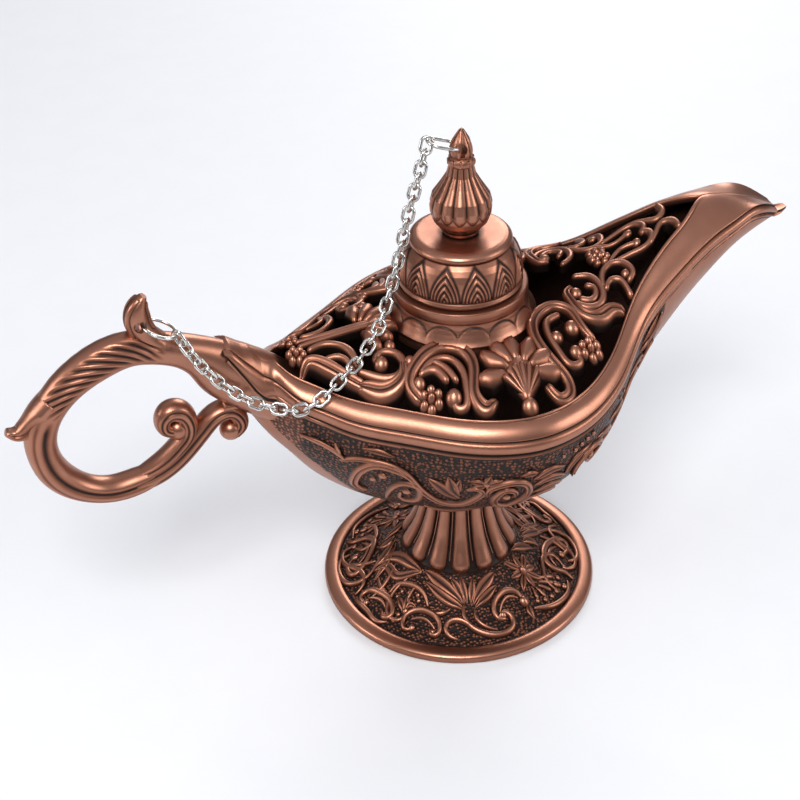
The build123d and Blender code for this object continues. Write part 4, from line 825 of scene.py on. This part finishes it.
def on_turned(radius_at, middle, slope=0.0):
    """Places on a turned form, from the distance round it from one angle, the height and the lift."""
    def place(u, z, lift):
        radius = radius_at(z)
        a = middle + u / radius
        return np.stack([(radius + lift) * np.cos(a), (radius + lift) * np.sin(a), z + lift * slope], axis=-1)
    return place


stem_piece = Piece()
turned(stem_piece, stem_core, 40, 96)
rib_count, rib_heights = 14, [13.7, 15.2, 17, 20, 24, 29, 34, 38]
for i in range(rib_count):
    middle = 2 * pi * i / rib_count + 0.31
    rib = [(0, z, pi * float(stem_radius(z)) / rib_count * 0.80) for z in rib_heights]
    stroke(stem_piece, rib, on_turned(stem_radius, middle, 0.3), 1.35, sink=0.4, step=0.8)
    line = [(0, z, 0.20) for z in rib_heights[1:]]
    stroke(stem_piece, line, on_turned(stem_radius, middle + pi / rib_count, 0.3), 0.45, step=0.8)
stem_piece.make("stem_ribs", "lamp", replaces=("stem",))


# Bowl's ornament, the same on both sides: half width, and the x and z that each stroke runs through
bowl_lines = [
    (0.62, [(-48.1, 71.3), (-45.7, 70.8), (-42.9, 69.5), (-40.9, 68), (-39.6, 66.3)]),
    (0.48, [(-41.4, 71), (-41, 69.3), (-40.4, 67.2)]),
    (0.70, [(-40.3, 65.7), (-37.5, 67.7), (-34, 68), (-30.2, 67.3), (-27.2, 65.3), (-24.6, 61.4),
            (-20.8, 56.4), (-17.2, 54), (-13.6, 54.3), (-11, 58.2), (-10.4, 61.2), (-12, 62.2),
            (-13.6, 61.4)]),
    (0.90, [(-24.3, 61.4), (-27, 64.5), (-30, 66), (-33.4, 66.4), (-35.9, 64.2), (-37, 60), (-36, 55.6),
            (-34, 54.6)]),
    (0.60, [(-28.8, 51), (-29.2, 57.4), (-27.2, 60.8), (-24.6, 60.4), (-23.1, 57), (-23.7, 53),
            (-25.7, 52.4), (-27, 55.8)]),
    (0.85, [(-8.5, 58.5), (-8.9, 61.9), (-6.6, 63.7), (-3.4, 64.4), (-0.6, 63.6), (1.3, 60.2), (1, 55),
            (-2, 51.5), (-5.6, 53.8), (-6.4, 58.6), (-4.8, 61.3), (-2.2, 60), (-2, 56.8)]),
    (0.70, [(19.5, 52), (17, 55.5), (15.6, 60), (17.4, 64.4), (21, 66), (24.4, 64), (24.6, 60),
            (22.2, 57.6), (19.9, 60)]),
    (0.70, [(25, 57), (30, 60), (33.6, 64), (36, 68.4), (39.6, 71.2), (43.2, 70.4), (43.6, 66.4),
            (40.8, 65.2)]),
    (0.60, [(37, 61.5), (41.5, 65.5), (44.4, 70), (46.4, 74.4), (48.6, 76.6), (50, 75)]),
    (0.50, [(46, 78.4), (48.6, 81.6), (50.6, 85.4)]),
    (0.60, [(-20, 49), (-14, 45.5), (-7, 43.4), (0, 43)]),
]
bowl_leaves = [
    (1.05, [(-22, 64), (-20.2, 62.4), (-17.6, 59.3), (-14.5, 57)]),
    (1.05, [(-18.1, 65.5), (-17.5, 63.3), (-16.6, 60.6), (-14.8, 58)]),
    (0.70, [(-15.6, 64.9), (-16, 62.6), (-15.2, 59.6)]),
    (0.80, [(-13.4, 64.9), (-11.5, 64.6), (-9.7, 63.8)]),
    (0.80, [(-9, 66.6), (-9.5, 65.2), (-9.7, 63.8)]),
    (0.80, [(-6.2, 65.2), (-7.9, 64.6), (-9.6, 63.8)]),
    (0.80, [(-7.9, 62.2), (-8.9, 63), (-9.6, 63.8)]),
    (0.80, [(-12.6, 62.2), (-11.3, 63), (-9.8, 63.8)]),
    (0.70, [(-1.6, 66.2), (0.7, 66.9), (2.8, 66.4)]),
    (0.90, [(2.4, 61), (5.2, 62.6), (8.4, 62.4), (12.6, 59.6)]),
    (0.90, [(1.9, 64), (4.2, 65.5), (7, 66.2), (10.8, 65)]),
    (0.85, [(3.2, 57), (6, 58.4), (9.4, 58.2), (13, 55.6)]),
    (0.80, [(3.4, 53), (6.4, 54.4), (10, 53.6), (13.4, 50.6)]),
    (0.85, [(11.8, 61), (13, 64), (15.6, 66.6), (19.4, 67.8)]),
    (0.75, [(22, 67.6), (25.4, 67), (28.4, 64.8), (30, 61.4)]),
    (0.75, [(27, 69.6), (30.4, 70), (33.8, 68.6), (35.4, 66.2)]),
    (0.75, [(37.4, 73.6), (41.4, 74.6), (45.4, 73), (47, 70)]),
    (0.70, [(42.8, 77.0), (45.6, 78.2), (48.4, 78.2)]),
    (0.60, [(43.4, 79.4), (46.4, 82.2), (49, 85.6)]),
    (0.80, [(-4, 47.6), (1, 48.4), (6, 47), (10, 44.4)]),
    (0.70, [(-36, 71.6), (-32.6, 71.4), (-29.4, 70.2)]),
]
bowl_balls = [(-31.6, 62.6, 1.0), (-33.4, 60.4, 0.75), (-25.9, 57, 1.0), (-9.7, 63.8, 0.9),
              (-3.8, 57.4, 1.15), (21.3, 61.4, 1.0), (41.4, 68, 0.9), (13.4, 69.4, 0.7), (15.4, 70.2, 0.7),
              (17.4, 70.8, 0.7), (19.4, 71.2, 0.7), (9.6, 69.2, 0.6), (31.6, 73, 0.6), (33.4, 73.6, 0.6),
              (48.2, 73.6, 0.6)]
bowl_relief = Piece()
for side in (1, -1):
    place = bowl_place(side)
    for half, points in bowl_lines:
        back = two_ridges if half > 0.65 else round_back
        stroke(bowl_relief, tapered(points, half * 1.3), place, 1.15, step=0.6, back=back)
    for half, points in bowl_leaves:
        stroke(bowl_relief, tapered(points, half * 1.4, 0.2), place, 1.15, back=leaf_back, step=0.6)
    for x, z, radius in bowl_balls:
        ball(bowl_relief, x, z, radius, place)
bowl_relief.make("bowl_ornament", "lamp")


# Collar: a plain band over a flared skirt with fourteen domed petals
def collar_section(turn, t):
    outline = [(13.4, 90.4, 0.2), (13.4, 98.9, 0.3), (13.6, 99.2, 0.6), (16.9, 99.2, 0.5), (17.2, 98.9, 1.0),
               (17.28, 97.6, 0.9), (17.2, 96.3, 0.95), (17.0, 95.9, 0.3), (17.1, 95.6, 0.1),
               (17.25, 94.6, 0.1), (17.6, 93.6, 0.1), (18.1, 92.5, 0.1), (18.6, 91.5, 0.1),
               (18.9, 90.9, 0.2), (18.7, 90.4, 0.2), (13.4, 90.4, 0.1)]
    at = [0, 0.08, 0.10, 0.16, 0.18, 0.22, 0.26, 0.28, 0.30, 0.42, 0.55, 0.68, 0.80, 0.88, 0.92, 1.0]
    radius, z, worn = along(outline, t, at)
    u = (np.mod(turn * petal_count / (2 * pi) + 0.5, 1) - 0.5) * 2 * pi * 18 / petal_count
    reach = np.hypot(u / 4.75, (z - 90.4) / 4.9)
    skirt = (t > 0.24) & (t < 0.92)
    petal = (reach < 1) & skirt
    dome = np.sqrt(np.clip(1 - reach ** 2, 0, 1))
    radius = radius + np.where(petal, 0.42 * dome ** 0.35 + 0.5 * np.clip((92.2 - z) / 1.8, 0, 1) ** 2, 0)
    on_petal, between = np.clip(0.1 + (1 - reach) * 9, 0, 0.98), np.clip(0.05 + (reach - 1) * 9, 0, 0.92)
    worn = np.where(skirt, np.where(petal, on_petal, between), worn)
    return np.minimum(radius, 19.5), z, worn, 0 * z


petal_count = 14
collar_piece = Piece()
turned(collar_piece, collar_section, 110, petal_count * 26)
collar_piece.make("collar_petals", "lamp", replaces=("collar",))


# Lid: a polished bell with twelve pointed arches, each of nested ridges, over a plain bead
def lid_section(turn, t):
    outline = [(2.0, 109.0, 0.2), (10.4, 109.0, 0.2), (12.6, 107.0, 0.2), (13.3, 102.0, 0.2),
               (13.3, 99.3, 0.2), (15.1, 99.27, 0.2), (15.6, 99.5, 0.8), (15.92, 100.2, 1.0),
               (15.6, 100.95, 0.9), (15.2, 101.2, 0.1), (15.3, 101.35, 0.2), (15.46, 102.2, 0.9),
               (15.45, 103.4, 0.95), (15.25, 105.0, 0.95), (14.9, 106.6, 0.95), (14.3, 108.1, 0.95),
               (13.5, 109.4, 0.95), (12.6, 110.3, 0.9), (11.9, 110.6, 0.3), (2.0, 110.6, 0.2)]
    at = [0, 0.04, 0.07, 0.10, 0.12, 0.14, 0.18, 0.23, 0.28, 0.31, 0.33, 0.39, 0.47, 0.58, 0.69, 0.79, 0.88,
          0.94, 0.97, 1]
    radius, z, worn = along(outline, t, at)
    a = np.abs(np.mod(turn * arch_count / (2 * pi) + 0.78, 1) - 0.5) * 2 * pi * 15.2 / arch_count
    h = z - 101.5
    # Each side of an arch is a circle's arc; q is a place's share of the way out to it
    half, centre = 3.75, 7.77
    wide = (half + centre) ** 2 - centre ** 2
    under_root = 4 * a ** 2 * centre ** 2 + 4 * wide * (a ** 2 + np.maximum(h, 0) ** 2)
    q = (2 * a * centre + np.sqrt(under_root)) / (2 * wide)
    arch = (q < 1) & (h > 0) & (t > 0.32) & (t < 0.95)
    ridge = 0.5 + 0.5 * np.cos(2 * pi * 4.5 * q)
    edge = np.clip((1 - q) * 9, 0, 1)
    radius = radius + np.where(arch, 0.42 * ridge * edge, 0.0)
    beside = np.where((h > 0) & (t > 0.32), np.clip((q - 1) * 8, 0.12, 1), 1)
    worn = np.where(arch, 0.16 + 0.92 * ridge * edge, worn * beside)
    return radius, z, worn, 0 * z


arch_count = 12
lid_piece = Piece()
turned(lid_piece, lid_section, 190, arch_count * 48)
lid_piece.make("lid_bell", "lid", replaces=("lid",))


def cap_section(turn, t):
    """The plain disc on the lid, with a rounded edge."""
    outline = [(1.75, 110.62, 0.2), (11.9, 110.62, 0.2), (12.6, 110.75, 0.7), (12.95, 111.1, 0.9),
               (13.05, 111.5, 1.0), (12.9, 112.0, 1.0), (12.5, 112.45, 1.0), (11.9, 112.8, 1.0),
               (11.0, 113.03, 0.95), (6.0, 113.0, 0.85), (4.5, 113.0, 0.15), (1.75, 113.0, 0.1),
               (1.75, 110.62, 0.2)]
    radius, z, worn = along(outline, t)
    return radius, z, worn, 0 * z


cap_piece = Piece()
turned(cap_piece, cap_section, 60, 128)
cap_piece.make("cap_disc", "lid", replaces=("lid_cap",))


# Finial: flutes with round lower ends on the bulb, a ring of small curls, and the kept bud with its eye
def bulb_radius(z):
    return np.interp(z, [113.1, 113.6, 114.6, 116.7, 118.5, 121.2, 123.6, 126.8, 129.3, 131.7, 133.2],
                     [4.3, 4.7, 4.75, 6.8, 7.45, 7.68, 7.1, 5.0, 3.55, 3.0, 2.9])


def bud_radius(z):
    return np.interp(z, [133.6, 135.9, 138.2, 141.2], [2.6, 2.75, 2.0, 0.15])


def bulb_section(turn, t):
    z = 113.15 + t * 19.6
    flute = np.abs(np.sin(flute_count / 2 * turn))
    fluted = np.clip((z - 118.6 - 1.6 * (1 - flute)) / 0.8, 0, 1)
    depth = np.interp(z, [118, 122, 128, 133], [1.0, 1.0, 0.75, 0.45])
    radius = bulb_radius(z) + fluted * (0.62 * flute ** 0.6 - 0.42) * depth
    worn = np.where(z < 114.6, 0.9, 0.95) * (1 - fluted) + fluted * np.clip(0.05 + 1.2 * flute ** 0.8, 0, 1)
    lip = np.exp(-((z - 118.5 - 1.6 * (1 - flute)) / 0.28) ** 2)
    worn = worn * (1 - 0.85 * lip)
    worn = np.where((z > 114.3) & (z < 114.9), 0.1, worn)
    return radius, z, worn, 0 * z


flute_count = 14
bulb_piece = Piece()
turned(bulb_piece, bulb_section, 120, flute_count * 18)
collar_place = on_turned(lambda z: np.interp(z, [131.5, 133.4, 134.6], [2.9, 3.05, 2.7]), 0.0)
curl_count, curl_ring = 9, 3.0
for i in range(curl_count):
    u = (i / curl_count) * 2 * pi * curl_ring
    curl = [(u - 0.7, 132.2, 0.22), (u - 0.2, 132.0, 0.3), (u + 0.45, 132.6, 0.34), (u + 0.3, 133.4, 0.28),
            (u - 0.2, 133.2, 0.22)]
    stroke(bulb_piece, curl, collar_place, 0.55, step=0.2)
# Leaves round the bud, but none over its eye
for i in range(5):
    middle = 2 * pi * i / 5 + 0.3
    leaf_place = on_turned(bud_radius, middle)
    if abs(cos(middle)) > 0.45 or sin(middle) > 0.2:
        leaf = [(0, 134.6, 0.5), (0, 136.4, 0.75), (0, 138.6, 0.6), (0, 140.8, 0.2)]
        stroke(bulb_piece, leaf, leaf_place, 0.35, step=0.3)
bulb_piece.make("finial_flutes", "lid")


# Handle: rounded bars with feathered leaves, grooves and scrolled ends
def bar_frame(rows, count):
    """A bar's middle line with its halves, its direction and its length so far, at evenly spaced places."""
    path = smooth_line([(grid * x, grid * z, grid * half, grid * side) for x, z, half, side in rows], count)
    way = np.gradient(path[:, :2], axis=0)
    way /= np.linalg.norm(way, axis=1)[:, None]
    length = np.concatenate([[0], np.cumsum(np.linalg.norm(np.diff(path[:, :2], axis=0), axis=1))])
    return path, way, length


def bar_skin(piece, rows, relief, count=120):
    """A bar with an oval section; relief gives lift and wear from length, share of length and angle."""
    path, way, length = bar_frame(rows, count)
    turn = round_angles(72)[None, :]
    lift, worn = relief(length[:, None], (length / length[-1])[:, None], turn)
    half, side = path[:, 2][:, None] + lift, path[:, 3][:, None] + lift
    out, across = half * np.cos(turn), side * np.sin(turn)
    x = path[:, 0][:, None] - way[:, 1][:, None] * out
    z = path[:, 1][:, None] + way[:, 0][:, None] * out
    piece.tube(np.stack([x, across + 0 * x, z], axis=-1), worn)


def from_spine(turn):
    """The angle from a bar's spine, the same on both flanks."""
    return np.abs(np.mod(turn + pi, 2 * pi) - pi)


def feathered(s, share, turn):
    """A smooth spine on the outside of the curve, and slanted veins down both flanks of the upper arc."""
    spine = from_spine(turn)
    flank = np.clip((spine - 1.05) / 0.25, 0, 1) * np.clip((2.65 - spine) / 0.3, 0, 1)
    vein = 0.5 + 0.5 * np.cos(2 * pi * (s / 3.2 - 2.2 * spine))
    leaf = np.clip((share - 0.29) / 0.03, 0, 1) * np.clip((0.56 - share) / 0.03, 0, 1)
    lower = np.clip((share - 0.56) / 0.03, 0, 1)
    broad = np.exp(-((spine - 1.45) / 0.20) ** 2)
    fine = np.exp(-((spine - 2.15) / 0.10) ** 2)
    lift = leaf * flank * (0.55 * vein - 0.45) - lower * (0.75 * broad + 0.25 * fine)
    worn = 0.97 - leaf * flank * (0.9 - 1.0 * vein) - lower * (0.85 * broad + 0.5 * fine)
    return lift, np.clip(worn, 0.05, 1.05)


def grooved(s, share, turn):
    """Two fine grooves along each flank."""
    line = np.exp(-((np.abs(from_spine(turn) - pi / 2) - 0.34) / 0.13) ** 2)
    return -0.30 * line, np.clip(0.97 - 0.85 * line, 0.05, 1)


def plain(s, share, turn):
    return 0 * (s + turn), 0.95


def scooped(s, share, turn):
    """Hollow flanks inside a raised bright edge, towards the leaf's tip."""
    starts, ends = np.clip((share - 0.25) / 0.3, 0, 1), np.clip((0.97 - share) / 0.1, 0, 1)
    hollow = np.exp(-((from_spine(turn) - pi / 2) / 0.62) ** 2) * starts * ends
    return -1.5 * hollow, np.clip(1.0 - 0.45 * hollow, 0, 1)


handle_piece = Piece()
bar_skin(handle_piece, loop_shares, feathered, 420)
bar_skin(handle_piece, lower_shares, grooved)
bar_skin(handle_piece, volute_shares, grooved)
bar_skin(handle_piece, leaf_shares, scooped, 60)
bar_skin(handle_piece, beak_shares, plain, 30)


def on_bar(rows, side):
    """Places on one flank of a bar, from length along it, distance from its middle line, and lift."""
    path, way, length = bar_frame(rows, 160)

    def place(u, v, lift):
        x, z, half, wide, wx, wz = [np.interp(u, length, column) for column in (*path.T, *way.T)]
        tilt = np.clip(v / np.maximum(half, 0.2), -1, 1) * pi / 2
        out, across = (half + lift) * np.sin(tilt), (wide + lift) * np.cos(tilt)
        return np.stack([x - wz * out, side * across, z + wx * out], axis=-1)
    return place, length[-1]


def bead_on_axis(piece, centre, radius):
    """A bright round bead that ends a scroll."""
    a, turn = np.meshgrid(np.linspace(0.02, pi - 0.02, 22), round_angles(36), indexing="ij")
    x, y, z = centre
    points = np.stack([x + radius * np.sin(a) * np.cos(turn), y + radius * np.sin(a) * np.sin(turn),
                       z + radius * np.cos(a)], axis=-1)
    piece.tube(points)


bead_on_axis(handle_piece, (-76.6, 0, 74.4), 2.9)
bead_on_axis(handle_piece, (-63.3, 0, 70.2), 2.9)
handle_piece.make("handle_leafwork", "lamp", replaces=("handle",))


# Thumb rest: the kept solid with its eye, with two raised rims down each flank
thumb_piece = Piece()
for side in (1, -1):
    place, reach = on_bar(thumb_shares, side)
    for v in (-2.2, 2.0):
        edge = [(7, v, 0.3), (9, v, 0.6), (12, v, 0.6), (reach - 1.2, v * 0.4, 0.4)]
        stroke(thumb_piece, edge, place, 0.5, step=0.4)
thumb_piece.make("thumb_leaf", "lamp")


# Chain: each link of the solid chain becomes a smooth loop of round wire in the same place
def separate_links(node):
    """The points of each connected part of a node's mesh, in metres."""
    mesh = nodes[node].data
    parent = list(range(len(mesh.vertices)))

    def root(i):
        while parent[i] != i:
            parent[i] = parent[parent[i]]
            i = parent[i]
        return i

    for edge in mesh.edges:
        parent[root(edge.vertices[0])] = root(edge.vertices[1])
    groups, seen = {}, {}
    for i, vertex in enumerate(mesh.vertices):
        key = tuple(round(c, 7) for c in vertex.co)
        if key in seen:
            parent[root(i)] = root(seen[key])
        seen[key] = i
    for i, vertex in enumerate(mesh.vertices):
        groups.setdefault(root(i), []).append(vertex.co)
    return [np.array(group) for group in groups.values()]


def wire_loop(piece, points, wire):
    """A closed loop of round wire that fills the place of one solid link; wire is the wire's radius."""
    points = np.unique(np.round(points, 6), axis=0)
    centre = points.mean(axis=0)
    axes = np.linalg.svd(points - centre, full_matrices=False)[2]
    spread = (points - centre) @ axes.T
    middle = (spread.max(axis=0) + spread.min(axis=0)) / 2
    centre = centre + middle @ axes
    length, width = ((spread.max(axis=0) - spread.min(axis=0)) / mm)[:2]
    radius = width / 2 - wire
    straight = max(length - width, 0) / 2
    a, turn = round_angles(64)[:, None], round_angles(16)
    x = radius * np.cos(a) + straight * np.sign(np.cos(a)) + np.cos(a) * wire * np.cos(turn)
    y = radius * np.sin(a) + np.sin(a) * wire * np.cos(turn)
    local = np.stack([x, y, wire * np.sin(turn) + 0 * x], axis=-1)
    local = np.concatenate([local, local[:1]], axis=0)
    piece.sheet(local @ axes + centre / mm, closed=True)


for node, body, wire in (("chain_top", "chain_top", 0.42), ("chain_middle", "chain_middle", 0.42),
                         ("chain_lower", "chain_lower", 0.42), ("finial_link", "chain_top", 0.46),
                         ("handle_ring", "chain_lower", 0.46)):
    links = Piece()
    for points in separate_links(node):
        wire_loop(links, points, wire)
    links.make(node + "_links", body, steel, (node,))


# Finishes of the kept solids
for node, material in (("bowl", hidden), ("lid_spigot", hidden), ("finial", polished),
                       ("thumb_rest", polished), ("finial_stud", steel), ("finial_nut", steel),
                       ("pedestal_bolt", steel), ("pedestal_washers", steel),
                       ("pedestal_nut", steel), ("handle_screw", steel), ("handle_washer", steel)):
    mesh = nodes[node].data
    mesh.materials.clear()
    mesh.materials.append(material)


# Floor, light and camera
lamp_middle = Vector((0, 0, 0.06))
for name, centre, size, power in (("key_light", (-0.35, -0.55, 0.85), 0.42, 6.5),
                                  ("fill_light", (0.75, -0.55, 0.45), 0.5, 3.0),
                                  ("back_light", (0.45, 0.75, 0.5), 0.5, 3.2),
                                  ("left_light", (-0.8, 0.1, 0.35), 0.4, 2.0)):
    glow = bpy.data.lights.new(name, "AREA")
    glow.shape, glow.size, glow.energy = "DISK", size, power
    light = bpy.data.objects.new(name, glow)
    bpy.context.scene.collection.objects.link(light)
    light.location = centre
    light.rotation_euler = (lamp_middle - Vector(centre)).to_track_quat("-Z", "Y").to_euler()

floor_mesh = bpy.data.meshes.new("floor")
floor_mesh.from_pydata([(-3, -3, 0), (3, -3, 0), (3, 3, 0), (-3, 3, 0)], [], [(0, 1, 2, 3)])
floor = bpy.data.objects.new("floor", floor_mesh)
bpy.context.scene.collection.objects.link(floor)
floor_material, tree, shader = new_material("floor_white")
place = add_node(tree, "ShaderNodeTexCoord", {}, {}, 3)
speckle = add_node(tree, "ShaderNodeTexNoise", {}, {"Vector": place, "Scale": 60.0})
plug(tree, shader, Base_Color=speckle.blend((0.80, 0.81, 0.83, 1), (0.83, 0.84, 0.86, 1)))
shader.inputs["Roughness"].default_value = 0.6
floor_mesh.materials.append(floor_material)

world = bpy.data.worlds.new("studio")
world.use_nodes = True
bpy.context.scene.world = world
tree = world.node_tree
rays = add_node(tree, "ShaderNodeLightPath", {}, {})
place = add_node(tree, "ShaderNodeTexCoord", {}, {}, 0)
height = add_node(tree, "ShaderNodeSeparateXYZ", {}, {0: place}, 2)
room = height.ramp(-0.1, 1.0).blend((0.10, 0.09, 0.09, 1), (0.75, 0.76, 0.82, 1))
seen = rays.blend(room, (0.90, 0.92, 0.95, 1))
tree.links.new(seen.socket, tree.nodes["Background"].inputs["Color"])
tree.nodes["Background"].inputs["Strength"].default_value = 0.7

# Camera at the photograph's viewing angle: its right, down and forward directions, and its place in metres
camera = bpy.data.objects.new("camera", bpy.data.cameras.new("camera"))
bpy.context.scene.collection.objects.link(camera)
camera.data.lens, camera.data.sensor_width = 68.58, 36.0
camera.data.clip_start, camera.data.clip_end = 0.01, 20
right, down = Vector((0.92732, -0.37385, -0.01737)), Vector((-0.23604, -0.54819, -0.80236))
forward = Vector((0.29044, 0.74815, -0.59659))
turned_to = Matrix((right, -down, -forward)).transposed().to_4x4()
camera.matrix_world = Matrix.Translation((-0.13394, -0.30084, 0.30557)) @ turned_to
bpy.context.scene.camera = camera
bpy.context.scene.view_settings.view_transform = "Standard"
